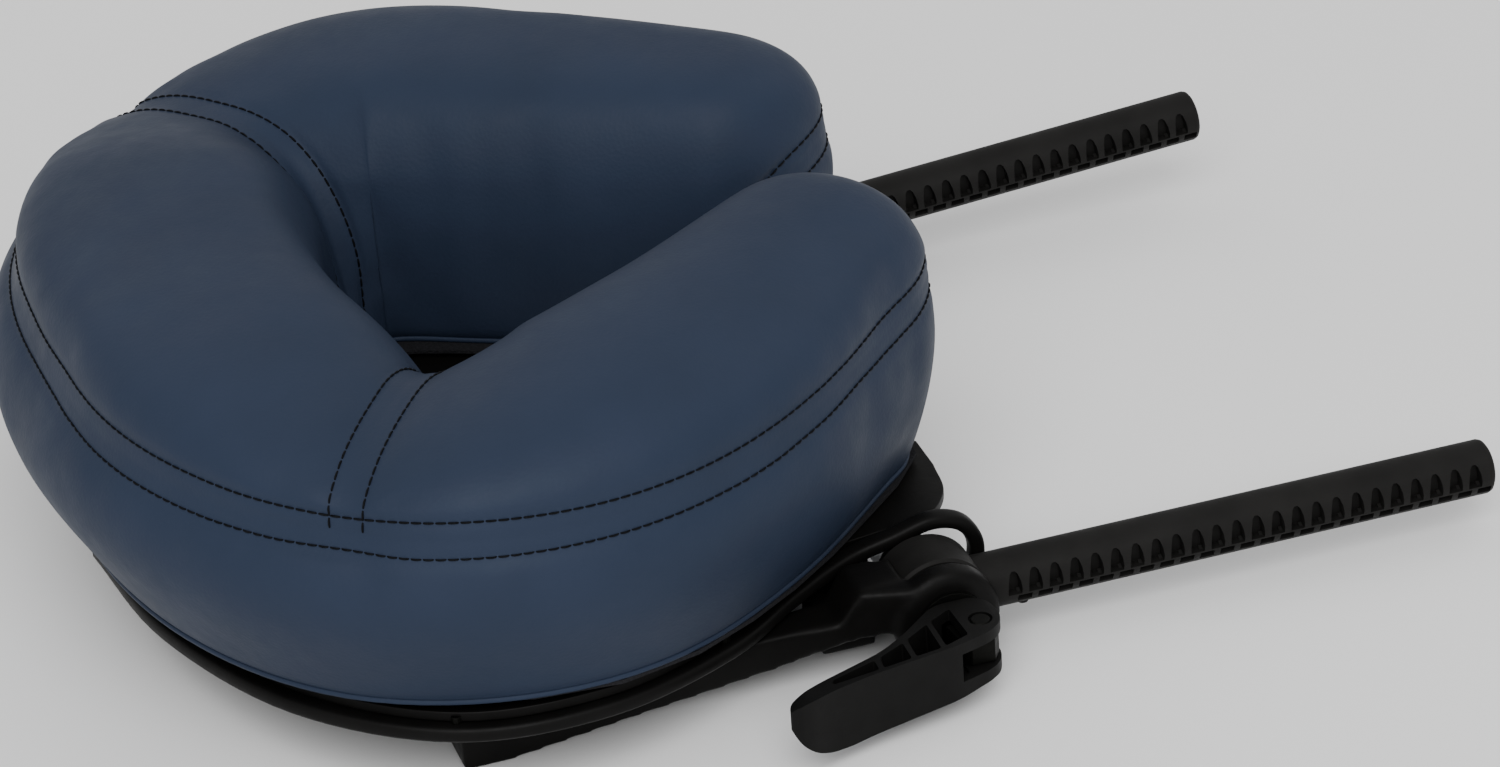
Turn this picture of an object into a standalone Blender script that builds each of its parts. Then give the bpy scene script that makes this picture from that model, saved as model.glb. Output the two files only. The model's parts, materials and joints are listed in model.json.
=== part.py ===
"""Adjustable massage-table face cradle with a horseshoe cushion.

Blender 4.5, metres, +Z up. +X runs towards the table, the posts' free ends.
-Y is the near side, which carries the cam lever. The shape is symmetric about
Y = 0 apart from the lever, its nut and the resting pitch of the far post.
Coordinates in this file are measured from the pivot line: X = 0 is below the
axis of the draw rod. The empty "assembly" moves everything by PIVOT_X, so the
world origin is the middle of the front crossbar's resting face.
"""

import math

import bmesh
import bpy
from mathutils import Matrix, Vector

# ---- driving dimensions, metres ----
PIVOT_X = 0.1315            # world X of the pivot axis, and depth of the base frame
PIVOT_Z = 0.0165            # height of the pivot axis above the ground
GAP = 0.0003                # air between pieces that touch

POST_SPACING = 0.216        # 8.5 in between the posts' centres
POST_R = 0.00795            # 5/8 in posts
POST_END = 0.1695           # pivot axis to the free end face
FAR_POST_PITCH = 4.25       # degrees up, where friction holds the far post
CELLS = 24                  # cored cells in each row of a post
CELL_FIRST = 0.0225
CELL_PITCH = 0.0061
CELL_DEPTH = 0.0034

KNUCKLE_R = 0.0150          # post knuckle
EAR_R = 0.0155              # outer ear of the base frame
INNER_EAR_R = 0.0105
ROD_R = 0.0032
BORE_R = 0.0036
KNUCKLE_Y = (0.1004, 0.1164)
OUTER_WASHER_Y = (0.1167, 0.1173)
OUTER_EAR_Y = (0.1176, 0.1248)
INNER_WASHER_Y = (0.0992, 0.0998)
INNER_EAR_Y = (0.0920, 0.0989)
TUBE_HALF = 0.0916          # half length of the spacer tube
TUBE_R = 0.0080
THRUST_Y = (0.1251, 0.1263)

ARM_Y = (0.1050, 0.1170)    # side arms of the base frame
ARM_TOP = 0.0195
BAR_X = (-0.1390, -0.1240)  # front crossbar

HOOP_Z = 0.0225             # middle of the hoop band
HOOP_T = 0.0050             # its thickness
HOOP_W = 0.0080             # its width round the platform
CURL_W = 0.0058             # its width where it curls round the pivot
CURL_Y = 0.0959             # middle of the curled band

PLATE_Z = 0.0253            # underside of the platform
PLATE_T = 0.0030
STRIP_T = 0.0010            # hook strips on the platform

PIN_X = 0.0040              # lever pin
PIN_Y = -0.1380
PIN_R = 0.0019
LEVER_TOP = 0.0245
LEVER_EAR_LOW = 0.0085
SLOT_Z = (0.0121, 0.0209)   # fork slot in the lever
EYE_HALF = 0.0041           # half height of the rod's eye

PAD_Z = 0.0300              # underside of the cushion
SEAM_Z = 0.0880             # welt between side band and top
CREST_Z = 0.1165
SKIN_T = 0.0010             # vinyl cover
SEAM_GAP = 0.0005           # air between neighbouring cover panels


class Side:
    """One of the two mirrored sides: near is -Y, far is +Y."""

    def __init__(self, name, sign):
        self.name = name
        self.sign = sign

    def span(self, pair):
        """A pair of distances from the middle plane as (low, high) along Y."""
        return tuple(sorted((self.sign * pair[0], self.sign * pair[1])))


SIDES = (Side("near", -1), Side("far", 1))

# ---- materials ----
BLACK_NYLON = ("black_nylon", (0.010, 0.010, 0.010), 0.42, 0.0)
LEVER_NYLON = ("lever_nylon", (0.009, 0.009, 0.009), 0.38, 0.0)
STEEL = ("zinc_steel", (0.62, 0.62, 0.60), 0.32, 1.0)
ALLOY = ("alloy_tube", (0.66, 0.67, 0.68), 0.38, 1.0)
FIBRE = ("friction_fibre", (0.06, 0.05, 0.045), 0.85, 0.0)
VINYL = ("navy_vinyl", (0.036, 0.048, 0.080), 0.48, 0.0)
LOOP = ("loop_fabric", (0.012, 0.012, 0.014), 0.95, 0.0)
HOOK = ("hook_tape", (0.008, 0.008, 0.008), 0.90, 0.0)
FOAM = ("memory_foam", (0.80, 0.72, 0.50), 0.95, 0.0)
RUBBER = ("rubber", (0.015, 0.015, 0.015), 0.80, 0.0)


def material(spec):
    """The Principled material that a spec names, made once."""
    name, colour, roughness, metallic = spec
    found = bpy.data.materials.get(name)
    if found:
        return found
    made = bpy.data.materials.new(name)
    made.use_nodes = True
    shader = made.node_tree.nodes["Principled BSDF"]
    shader.inputs["Base Color"].default_value = (*colour, 1.0)
    shader.inputs["Roughness"].default_value = roughness
    shader.inputs["Metallic"].default_value = metallic
    made.diffuse_color = (*colour, 1.0)
    return made


def clear_scene():
    for item in list(bpy.data.objects):
        bpy.data.objects.remove(item, do_unlink=True)


def empty(name, place, parent=None):
    item = bpy.data.objects.new(name, None)
    item.location = place
    item.parent = parent
    bpy.context.scene.collection.objects.link(item)
    return item


def make(name, bm, spec, parent, pivot=(0.0, 0.0, 0.0), smooth=None):
    """Object from a bmesh drawn in pivot-line coordinates, its origin at pivot."""
    bmesh.ops.recalc_face_normals(bm, faces=bm.faces)
    bmesh.ops.translate(bm, verts=bm.verts, vec=-Vector(pivot))
    mesh = bpy.data.meshes.new(name)
    bm.to_mesh(mesh)
    bm.free()
    if smooth:
        mesh.shade_smooth()
        mesh.set_sharp_from_angle(angle=math.radians(smooth))
    item = bpy.data.objects.new(name, mesh)
    mesh.materials.append(material(spec))
    item.parent = parent
    item.location = Vector(pivot) - parent_offset(parent)
    bpy.context.scene.collection.objects.link(item)
    return item


def parent_offset(parent):
    """Where a parent stands in pivot-line coordinates."""
    place = Vector((0.0, 0.0, 0.0))
    while parent is not None and parent.name != "assembly":
        place += parent.location
        parent = parent.parent
    return place


# ---- solids ----
def prism(points, axis, low, high):
    """A closed prism: outline points in the plane across axis, between low and high."""
    def place(a, b, h):
        return {"X": (h, a, b), "Y": (a, h, b), "Z": (a, b, h)}[axis]

    bm = bmesh.new()
    bottom = [bm.verts.new(place(a, b, low)) for a, b in points]
    top = [bm.verts.new(place(a, b, high)) for a, b in points]
    count = len(points)
    bm.faces.new(bottom)
    bm.faces.new(top)
    for i in range(count):
        j = (i + 1) % count
        bm.faces.new((bottom[i], bottom[j], top[j], top[i]))
    bmesh.ops.recalc_face_normals(bm, faces=bm.faces)
    return bm


def circle(cx, cy, radius, count, start=0.0):
    return [(cx + radius * math.cos(start + math.tau * i / count),
             cy + radius * math.sin(start + math.tau * i / count)) for i in range(count)]


def disc(axis, a, b, radius, low, high, count=24):
    return prism(circle(a, b, radius, count), axis, low, high)


def box(x, y, z):
    return prism([(x[0], y[0]), (x[1], y[0]), (x[1], y[1]), (x[0], y[1])], "Z", *z)


def turned(profile, axis, a, b, count=24):
    """A solid of revolution: profile is (height, radius) pairs, both ends closed."""
    def place(height, radius, angle):
        u = a + radius * math.cos(angle)
        v = b + radius * math.sin(angle)
        return {"X": (height, u, v), "Y": (u, height, v), "Z": (u, v, height)}[axis]

    bm = bmesh.new()
    rings = []
    for height, radius in profile:
        rings.append([bm.verts.new(place(height, radius, math.tau * i / count))
                      for i in range(count)])
    for lower, upper in zip(rings, rings[1:]):
        for i in range(count):
            j = (i + 1) % count
            bm.faces.new((lower[i], lower[j], upper[j], upper[i]))
    bm.faces.new(rings[0])
    bm.faces.new(rings[-1])
    bmesh.ops.recalc_face_normals(bm, faces=bm.faces)
    return bm


def joined(*parts):
    """Several closed shapes in one bmesh, as separate bodies."""
    whole = bmesh.new()
    for part in parts:
        mesh = bpy.data.meshes.new("part")
        part.to_mesh(mesh)
        part.free()
        whole.from_mesh(mesh)
        bpy.data.meshes.remove(mesh)
    return whole


def boolean(base, tools, operation):
    """The base bmesh after an exact Boolean with each tool bmesh in turn."""
    def helper(bm):
        mesh = bpy.data.meshes.new("tool")
        bm.to_mesh(mesh)
        bm.free()
        item = bpy.data.objects.new("tool", mesh)
        item.hide_render = True
        item.display_type = "WIRE"
        bpy.context.scene.collection.objects.link(item)
        return item

    subject = helper(base)
    helpers = [helper(tool) for tool in tools]
    for tool in helpers:
        step = subject.modifiers.new(operation, "BOOLEAN")
        step.operation = operation
        step.solver = "EXACT"
        step.object = tool
    graph = bpy.context.evaluated_depsgraph_get()
    result = bmesh.new()
    result.from_mesh(bpy.data.meshes.new_from_object(subject.evaluated_get(graph)))
    for item in [subject, *helpers]:
        bpy.data.objects.remove(item, do_unlink=True)
    bmesh.ops.remove_doubles(result, verts=result.verts, dist=0.00001)
    return result


def cut(base, *tools):
    return boolean(base, tools, "DIFFERENCE")


def fused(base, *tools):
    return boolean(base, tools, "UNION")


def both_sides(bm):
    """The bmesh and its mirror image across Y = 0, as separate bodies."""
    other = bm.copy()
    bmesh.ops.transform(other, matrix=Matrix.Scale(-1, 4, (0, 1, 0)), verts=other.verts)
    bmesh.ops.reverse_faces(other, faces=other.faces)
    return joined(bm, other)


def spline(points, steps):
    """Points on a smooth curve through the given points (uniform Catmull-Rom)."""
    pts = [Vector(p) for p in points]
    ends = [2 * pts[0] - pts[1], *pts, 2 * pts[-1] - pts[-2]]
    line = []
    for i in range(1, len(ends) - 2):
        p0, p1, p2, p3 = ends[i - 1:i + 3]
        for k in range(steps):
            t = k / steps
            line.append(0.5 * (2 * p1 + (p2 - p0) * t + (2 * p0 - 5 * p1 + 4 * p2 - p3) * t * t
                               + (3 * p1 - p0 - 3 * p2 + p3) * t * t * t))
    line.append(pts[-1])
    return line


def swept(path, sizes, side):
    """A band along path: sizes are (width, thickness), side the first width direction."""
    bm = bmesh.new()
    rings = []
    across = Vector(side)
    for i, point in enumerate(path):
        ahead = path[min(i + 1, len(path) - 1)] - path[max(i - 1, 0)]
        ahead.normalize()
        across = (across - ahead * across.dot(ahead)).normalized()
        up = ahead.cross(across)
        width, depth = sizes[i]
        corners = ((-0.5, -0.5), (0.5, -0.5), (0.5, 0.5), (-0.5, 0.5))
        rings.append([bm.verts.new(point + across * width * a + up * depth * b)
                      for a, b in corners])
    for near, far in zip(rings, rings[1:]):
        for i in range(4):
            j = (i + 1) % 4
            bm.faces.new((near[i], near[j], far[j], far[i]))
    bm.faces.new(rings[0])
    bm.faces.new(rings[-1])
    bmesh.ops.recalc_face_normals(bm, faces=bm.faces)
    return bm


# ---- base frame ----
ARM_SIDE = [
    (-0.1390, 0.0), (-0.1240, 0.0), (-0.0920, 0.0040), (-0.0480, 0.0090), (-0.0160, 0.0150),
    (-0.0100, 0.0270), (-0.0100, 0.0294), (-0.0240, 0.0290), (-0.0300, ARM_TOP),
    (-0.1390, ARM_TOP),
]
FLARE = [(-0.0480, 0.1060), (-0.0240, 0.1024), (-0.0150, 0.1024), (-0.0150, 0.1160), (0.0, 0.1160),
         (0.0, 0.1244), (-0.0120, 0.1235), (-0.0260, 0.1190), (-0.0480, ARM_Y[1] - 0.0004)]
FLARE_SIDE = [(-0.0500, 0.0090), (-0.0160, 0.0152), (-0.0010, 0.0060), (0.0010, 0.0060),
              (0.0010, 0.0288), (-0.0240, 0.0286), (-0.0305, ARM_TOP - 0.0004),
              (-0.0500, ARM_TOP - 0.0004)]
WEB_PLAN = [(-0.0330, 0.0920), (0.0, 0.0920), (0.0, 0.0985), (-0.0170, 0.0985),
            (-0.0170, 0.1100), (-0.0330, 0.1100)]
WEB_Z = (0.0050, 0.0172)
ARM_POCKETS = [(-0.1200, 0.0085), (-0.1020, 0.0070), (-0.0840, 0.0055), (-0.0660, 0.0035)]


def frame_side():
    """One side arm with its clevis, on the +Y side."""
    arm = prism(ARM_SIDE, "Y", *ARM_Y)
    flare = prism(FLARE, "Z", 0.0, 0.0400)
    flare = boolean(flare, [prism(FLARE_SIDE, "Y", 0.0900, 0.1300)], "INTERSECT")
    outer = turned([(0.1160, EAR_R), (OUTER_EAR_Y[1] - 0.0016, EAR_R),
                    (OUTER_EAR_Y[1], EAR_R - 0.0022)], "Y", 0.0, PIVOT_Z, 24)
    inner = disc("Y", 0.0, PIVOT_Z, INNER_EAR_R, INNER_EAR_Y[0] - 0.0003, 0.1000, 20)
    web = prism(WEB_PLAN, "Z", *WEB_Z)
    side = fused(arm, flare)
    side = fused(side, outer)
    side = fused(side, web)
    side = fused(side, inner)
    clear = disc("Y", 0.0, PIVOT_Z, KNUCKLE_R + 0.0012, INNER_EAR_Y[1], OUTER_EAR_Y[0], 24)
    side = cut(side, clear)
    side = cut(side, disc("Y", 0.0, PIVOT_Z, BORE_R, 0.0850, 0.1300, 12))
    pockets = [box((x, x + 0.0155), (0.0900, 0.1140), (ARM_TOP - 0.0045 - depth, ARM_TOP - 0.0030))
               for x, depth in ARM_POCKETS]
    return cut(side, *pockets)


SCREW_X = -0.0135           # screw through the curled foot into the low web
SCREW_HOLE_R = 0.0018
BLOCK_X = (-0.1380, -0.1250)
BLOCK_Y = (0.0720, 0.0980)
BLOCK_SCREW_Y = (0.0785, 0.0915)


def block_screw_places():
    x = (BLOCK_X[0] + BLOCK_X[1]) / 2
    return [(x, side * y) for side in (-1, 1) for y in BLOCK_SCREW_Y]


def base_frame(parent):
    bar = prism([(BAR_X[0], 0.0), (BAR_X[1], 0.0), (BAR_X[1], ARM_TOP), (BAR_X[0], ARM_TOP)],
                "Y", -0.1056, 0.1056)
    body = fused(bar, both_sides(frame_side()))
    holes = [disc("Z", x, y, SCREW_HOLE_R, 0.0080, 0.0250, 8) for x, y in block_screw_places()]
    holes += [disc("Z", SCREW_X, s * CURL_Y, SCREW_HOLE_R, 0.0, 0.0130, 8) for s in (-1, 1)]
    return make("base_frame", cut(body, *holes), BLACK_NYLON, parent, smooth=35)


# ---- hoop and platform ----
HOOP_PLAN = [(-0.2100, 0.0), (-0.2020, 0.0500), (-0.1790, 0.0995), (-0.1430, 0.1305),
             (-0.1020, 0.1350), (-0.0640, 0.1215), (-0.0400, 0.1050), (-0.0200, 0.0968)]
CURL = [(-0.0060, 0.0295), (0.0050, 0.0322), (0.0135, 0.0300), (0.0179, 0.0237),
        (0.0178, 0.0163), (0.0140, 0.0086), (0.0072, 0.0040), (-0.0010, 0.00255),
        (-0.0100, 0.0025), (-0.0200, 0.0025)]
HOOP_RISE = 0.0265          # height of the band where it passes the side arm


def hoop_path():
    plan = [(x, y, HOOP_Z) for x, y in HOOP_PLAN[:-2]]
    plan.append((*HOOP_PLAN[-2], HOOP_Z + 0.0006))
    plan.append((*HOOP_PLAN[-1], HOOP_RISE))
    curl = [(x, CURL_Y, z) for x, z in CURL]
    return spline([*plan, *curl], 3)


def flex_hoop(parent):
    """The sprung band round the platform, curled round the pivot at both ends."""
    half = hoop_path()
    mirrored = [Vector((p.x, -p.y, p.z)) for p in reversed(half[1:])]
    path = [*mirrored, *half]
    sizes = []
    for point in path:
        blend = min(max((point.x + 0.0700) / 0.0400, 0.0), 1.0)
        sizes.append((HOOP_W + (CURL_W - HOOP_W) * blend, HOOP_T + (0.0045 - HOOP_T) * blend))
    band = swept(path, sizes, (0, 1, 0))
    holes = []
    for x, y in hoop_screw_places():
        holes.append(disc("Z", x, y, SCREW_HOLE_R, 0.0150, 0.0300, 8))
        holes.append(disc("Z", x, y, 0.0031, 0.0150, HOOP_Z - 0.0010, 8))
    for side in (-1, 1):
        holes.append(disc("Z", SCREW_X, side * CURL_Y, SCREW_HOLE_R, -0.01, 0.010, 8))
        holes.append(disc("Z", SCREW_X, side * CURL_Y, 0.0027, -0.01, 0.0018, 8))
    return make("flex_hoop", cut(band, *holes), BLACK_NYLON, parent, smooth=40)


def hoop_screw_places():
    """Screws up through the hoop into the platform."""
    half = [(-0.2020, 0.0500), (-0.1430, 0.1305), (-0.0640, 0.1215)]
    return [(x, s * y) for s in (-1, 1) for x, y in half]


PLATE_OUTER = [(-0.2095, 0.0), (-0.2015, 0.0505), (-0.1785, 0.0995), (-0.1425, 0.1310),
               (-0.1010, 0.1355), (-0.0660, 0.1225), (-0.0480, 0.1060), (-0.0320, 0.0940),
               (-0.0100, 0.0900), (0.0070, 0.0868), (0.0165, 0.0760), (0.0190, 0.0610)]
PLATE_INNER = [(0.0190, 0.0470), (0.0120, 0.0320), (-0.0050, 0.0250), (-0.0350, 0.0300),
               (-0.0650, 0.0390), (-0.0950, 0.0430), (-0.1180, 0.0330), (-0.1270, 0.0)]


def plate_outline():
    outer = spline([(x, y, 0) for x, y in PLATE_OUTER], 3)
    inner = spline([(x, y, 0) for x, y in PLATE_INNER], 3)
    half = [(p.x, p.y) for p in [*outer, *inner]]
    return half + [(x, -y) for x, y in reversed(half[1:-1])]


def platform_plate(parent):
    plate = prism(plate_outline(), "Z", PLATE_Z, PLATE_Z + PLATE_T)
    holes = []
    for x, y in block_screw_places():
        holes.append(disc("Z", x, y, SCREW_HOLE_R, 0.0200, 0.0350, 8))
        holes.append(disc("Z", x, y, 0.0036, PLATE_Z + 0.0014, 0.0350, 8))
    for x, y in hoop_screw_places():
        holes.append(disc("Z", x, y, SCREW_HOLE_R, 0.0200, PLATE_Z + 0.0022, 8))
    return make("platform_plate", cut(plate, *holes), BLACK_NYLON, parent, smooth=30)


STRIP_PLACES = [(-0.1680, 0.0, 90.0),
                (-0.1480, 0.0760, 40.0), (-0.0880, 0.0880, -8.0), (-0.0250, 0.0610, -30.0),
                (-0.1480, -0.0760, -40.0), (-0.0880, -0.0880, 8.0), (-0.0250, -0.0610, 30.0)]


def hook_strips(parent):
    """Self-adhesive hook tape that holds the cushion, one object for each patch."""
    low = PLATE_Z + PLATE_T + GAP
    for number, (x, y, turn) in enumerate(STRIP_PLACES, 1):
        strip = box((-0.0220, 0.0220), (-0.0125, 0.0125), (low, low + STRIP_T))
        spin = Matrix.Rotation(math.radians(turn), 4, "Z")
        bmesh.ops.transform(strip, matrix=Matrix.Translation((x, y, 0)) @ spin, verts=strip.verts)
        make(f"hook_strip_{number}", strip, HOOK, parent)


def screw(x, y, head_z, head_h, head_r, tip_z):
    """A vertical screw: head at head_z, growing by head_h, shank down or up to tip_z."""
    shank_r = SCREW_HOLE_R - GAP
    profile = [(head_z, head_r), (head_z + head_h, head_r), (head_z + head_h, shank_r),
               (tip_z, shank_r)]
    if head_h < 0:
        profile.reverse()
    return turned(profile, "Z", x, y, 8)


def hoop_screws(parent):
    for number, (x, y) in enumerate(hoop_screw_places(), 1):
        item = screw(x, y, HOOP_Z - 0.0024, 0.0011, 0.0028, PLATE_Z + 0.0019)
        make(f"hoop_screw_{number}", item, STEEL, parent, smooth=40)


def foot_screws(parent):
    for side in SIDES:
        item = screw(SCREW_X, side.sign * CURL_Y, 0.0006, 0.0009, 0.0024, 0.0120)
        make(f"{side.name}_foot_screw", item, STEEL, parent, smooth=40)


def block_screws(parent):
    top = PLATE_Z + PLATE_T - 0.0001
    for number, (x, y) in enumerate(block_screw_places(), 1):
        item = screw(x, y, top, -0.0012, 0.0031, 0.0090)
        make(f"block_screw_{number}", item, STEEL, parent, smooth=40)


def support_blocks(parent):
    """Rubber blocks between the crossbar and the platform."""
    x = (BLOCK_X[0] + BLOCK_X[1]) / 2
    for side in SIDES:
        block = box(BLOCK_X, side.span(BLOCK_Y), (ARM_TOP + GAP, PLATE_Z - GAP))
        holes = [disc("Z", x, side.sign * y, SCREW_HOLE_R, 0.01, 0.03, 8)
                 for y in BLOCK_SCREW_Y]
        make(f"{side.name}_support_block", cut(block, *holes), RUBBER, parent)


# ---- pivot ----
def ring(low, high, outer, inner, count=20):
    return cut(disc("Y", 0.0, PIVOT_Z, outer, low, high, count),
               disc("Y", 0.0, PIVOT_Z, inner, low - 0.001, high + 0.001, 12))


def spacer_tube(parent):
    return make("spacer_tube", ring(-TUBE_HALF, TUBE_HALF, TUBE_R, 0.0045), ALLOY, parent,
                smooth=40)


def friction_washers(parent):
    """Fibre washers on both faces of each knuckle."""
    for side in SIDES:
        for place, span in (("inner", INNER_WASHER_Y), ("outer", OUTER_WASHER_Y)):
            make(f"{side.name}_{place}_friction_washer", ring(*side.span(span), 0.0125, BORE_R),
                 FIBRE, parent, smooth=40)


def thrust_washer(parent):
    return make("thrust_washer", ring(-THRUST_Y[1], -THRUST_Y[0], 0.0100, BORE_R), STEEL,
                parent, smooth=40)


def post(side, pitch, parent):
    """A cored post with its knuckle, free end towards +X, turned up by pitch degrees."""
    y = side.sign * POST_SPACING / 2
    low, high = side.span(KNUCKLE_Y)
    shaft = turned([(0.0, POST_R), (POST_END - 0.0012, POST_R), (POST_END, POST_R - 0.0010)],
                   "X", y, PIVOT_Z, 16)
    knuckle = turned([(low, KNUCKLE_R - 0.0006), (low + 0.0008, KNUCKLE_R),
                      (high - 0.0008, KNUCKLE_R), (high, KNUCKLE_R - 0.0006)],
                     "Y", 0.0, PIVOT_Z, 24)
    body = fused(shaft, knuckle)
    cells = []
    for i in range(CELLS):
        x = CELL_FIRST + i * CELL_PITCH
        side_cell = [(x - 0.0020, PIVOT_Z - 0.0018), (x + 0.0020, PIVOT_Z - 0.0018),
                     (x + 0.0010, PIVOT_Z + 0.0046), (x - 0.0010, PIVOT_Z + 0.0046)]
        cells.append(prism(side_cell, "Y", y - POST_R - 0.001, y - POST_R + CELL_DEPTH))
    body = cut(body, joined(*cells))
    body = cut(body, disc("Y", 0.0, PIVOT_Z, BORE_R, low - 0.001, high + 0.001, 12))
    axis = Matrix.Translation((0, 0, PIVOT_Z))
    turn = axis @ Matrix.Rotation(math.radians(-pitch), 4, "Y") @ axis.inverted()
    bmesh.ops.transform(body, matrix=turn, verts=body.verts)
    pivot = (0.0, y, PIVOT_Z)
    return make(f"{side.name}_post", body, BLACK_NYLON, parent, pivot=pivot, smooth=35)


# ---- cam clamp ----
def draw_rod(parent):
    """The rod through both clevises, with a flat eye for the lever pin."""
    shank = disc("Y", 0.0, PIVOT_Z, ROD_R, -0.1340, 0.1384, 20)
    eye = prism([(-0.0040, -0.1320), (0.0080, -0.1320), (0.0092, -0.1380), (0.0066, -0.1420),
                 (0.0000, -0.1420), (-0.0030, -0.1395)], "Z", PIVOT_Z - EYE_HALF,
                PIVOT_Z + EYE_HALF)
    hole = disc("Z", PIN_X, PIN_Y, PIN_R + GAP, 0.0, 0.03, 16)
    return make("draw_rod", cut(fused(shank, eye), hole), STEEL, parent, smooth=40)


def lock_nut(parent):
    """Dome nut on the far end of the rod."""
    hexagon = prism(circle(0.0, PIVOT_Z, 0.0065, 6), "Y", 0.1264, 0.1320)
    dome = turned([(0.1315, 0.0055), (0.1370, 0.0054), (0.1405, 0.0044), (0.1425, 0.0022)],
                  "Y", 0.0, PIVOT_Z, 20)
    bore = disc("Y", 0.0, PIVOT_Z, ROD_R + GAP, 0.1200, 0.1388, 20)
    return make("lock_nut", cut(fused(hexagon, dome), bore), STEEL, parent, smooth=40)


def nut_washer(parent):
    return make("nut_washer", ring(0.1251, 0.1261, 0.0085, BORE_R), STEEL, parent, smooth=40)


LEVER_PLAN = [(-0.0060, -0.1266), (0.0050, -0.1266), (0.0085, -0.1290), (0.0099, -0.1330),
              (0.0100, -0.1380), (0.0078, -0.1425), (0.0040, -0.1452), (-0.0060, -0.1485),
              (-0.0330, -0.1530), (-0.0450, -0.1560), (-0.0545, -0.1608), (-0.0580, -0.1596),
              (-0.0572, -0.1565), (-0.0480, -0.1512), (-0.0270, -0.1432), (-0.0180, -0.1372)]
LEVER_FACE = [(0.0120, LEVER_EAR_LOW), (0.0040, LEVER_EAR_LOW), (-0.0060, 0.0070),
              (-0.0250, 0.0057), (-0.0400, 0.0047), (-0.0460, 0.0052), (-0.0510, 0.0075),
              (-0.0550, 0.0112), (-0.0575, 0.0152), (-0.0586, 0.0205), (-0.0570, 0.0234),
              (-0.0530, LEVER_TOP), (0.0120, LEVER_TOP)]
LEVER_POCKETS = [
    [(-0.0028, -0.1300), (-0.0022, -0.1425), (-0.0095, -0.1450), (-0.0092, -0.1340)],
    [(-0.0108, -0.1352), (-0.0112, -0.1455), (-0.0185, -0.1475), (-0.0180, -0.1402)],
    [(-0.0200, -0.1415), (-0.0202, -0.1478), (-0.0285, -0.1492), (-0.0278, -0.1458)],
    [(-0.0300, -0.1464), (-0.0302, -0.1494), (-0.0440, -0.1520), (-0.0435, -0.1510)],
]


def cam_lever(parent):
    """The forked cam lever: plan outline, trimmed to the paddle's side outline."""
    body = prism(LEVER_PLAN, "Z", 0.0, 0.03)
    face = prism(LEVER_FACE, "Y", -0.1700, -0.1200)
    body = boolean(body, [face], "INTERSECT")
    slot = box((-0.0090, 0.0200), (-0.1700, -0.1200), SLOT_Z)
    pockets = [prism(outline, "Z", 0.0120, 0.0300) for outline in LEVER_POCKETS]
    hole = disc("Z", PIN_X, PIN_Y, PIN_R + GAP, 0.0, 0.03, 16)
    seat = disc("Z", PIN_X, PIN_Y, 0.0034, LEVER_TOP - 0.0010, 0.03, 20)
    body = cut(body, slot, hole, seat, *pockets)
    return make("cam_lever", body, LEVER_NYLON, parent, pivot=(PIN_X, PIN_Y, PIVOT_Z), smooth=30)


def lever_pin(parent):
    pin = turned([(0.0092, PIN_R), (LEVER_TOP - 0.0006, PIN_R), (LEVER_TOP - 0.0006, 0.0030),
                  (LEVER_TOP - 0.0001, 0.0026)], "Z", PIN_X, PIN_Y, 16)
    return make("lever_pin", pin, STEEL, parent, pivot=(PIN_X, PIN_Y, PIVOT_Z), smooth=40)


# ---- cushion ----
RIDGE = [(-0.1770, 0.0, 0.0430), (-0.1670, 0.0520, 0.0440), (-0.1400, 0.0890, 0.0455),
         (-0.1000, 0.1035, 0.0455), (-0.0580, 0.0845, 0.0430), (-0.0125, 0.0500, 0.0360)]
RIDGE_STEPS = 3             # samples between ridge points
END_STEPS = 5               # samples round each arm end
SWELL = 0.0080              # how far the side band swells out at the front
CROWN_POWER = 0.88          # under 1 for a crown squarer than an ellipse
OUTER_BASE = 0.76           # offset of the base edge over the half width, outside
INNER_BASE = 0.94           # and on the hole's side
SIDE_ROWS = (0.0, 0.45, 1.0)
CROWN_ROWS = 4
FRONT_SEAM = 6              # ridge sample where a radial seam crosses the pad
MOUTH_SEAM = 2              # samples past the arm end where the side band stops


def ridge_samples():
    line = spline(RIDGE, RIDGE_STEPS)
    return [(p.x, p.y, p.z) for p in line]


def stations():
    """Round the pad's edge: (ridge x, ridge y, direction, half width, inner share)."""
    ridge = ridge_samples()
    outer = []
    for i, (x, y, w) in enumerate(ridge):
        ahead = ridge[min(i + 1, len(ridge) - 1)]
        behind = ridge[i - 1] if i else (ridge[1][0], -ridge[1][1], 0)
        run = Vector((ahead[0] - behind[0], ahead[1] - behind[1])).normalized()
        outer.append((x, y, Vector((-run.y, run.x)), w))
    x, y, out, w = outer[-1]
    near_half = [(px, py, d, pw, 0.0) for px, py, d, pw in outer]
    for k in range(1, END_STEPS):
        share = k / END_STEPS
        turn = Matrix.Rotation(-math.pi * share, 2)
        near_half.append((x, y, turn @ out, w, share))
    near_half += [(px, py, -d, pw, 1.0) for px, py, d, pw in reversed(outer)]
    return near_half


def pad_point(station, row, inset):
    """A point of the pad's surface: row 0 to 1 up the side, 1 to 2 over the crown."""
    x, y, out, w, inner = station
    base = OUTER_BASE + (INNER_BASE - OUTER_BASE) * inner
    if row <= 1.0:
        swell = SWELL * (1.0 - inner) * x / RIDGE[0][0] * math.sin(row * math.pi)
        offset = w * (base + (1.0 - base) * math.sin(row * math.pi / 2)) + swell - inset
        z = PAD_Z + (SEAM_Z - PAD_Z) * row
    else:
        angle = (row - 1.0) * math.pi / 2
        offset = (w - inset) * max(math.cos(angle), 0.0) ** CROWN_POWER
        z = SEAM_Z + (CREST_Z - SEAM_Z - inset) * math.sin(angle) ** CROWN_POWER
    return Vector((x + out.x * offset, y + out.y * offset, z))


def ring_stations():
    """All stations round the pad, +Y half first, then its mirror image."""
    half = stations()
    other = [(x, -y, Vector((d.x, -d.y)), w, inner) for x, y, d, w, inner in reversed(half[1:-1])]
    return half + other


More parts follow.
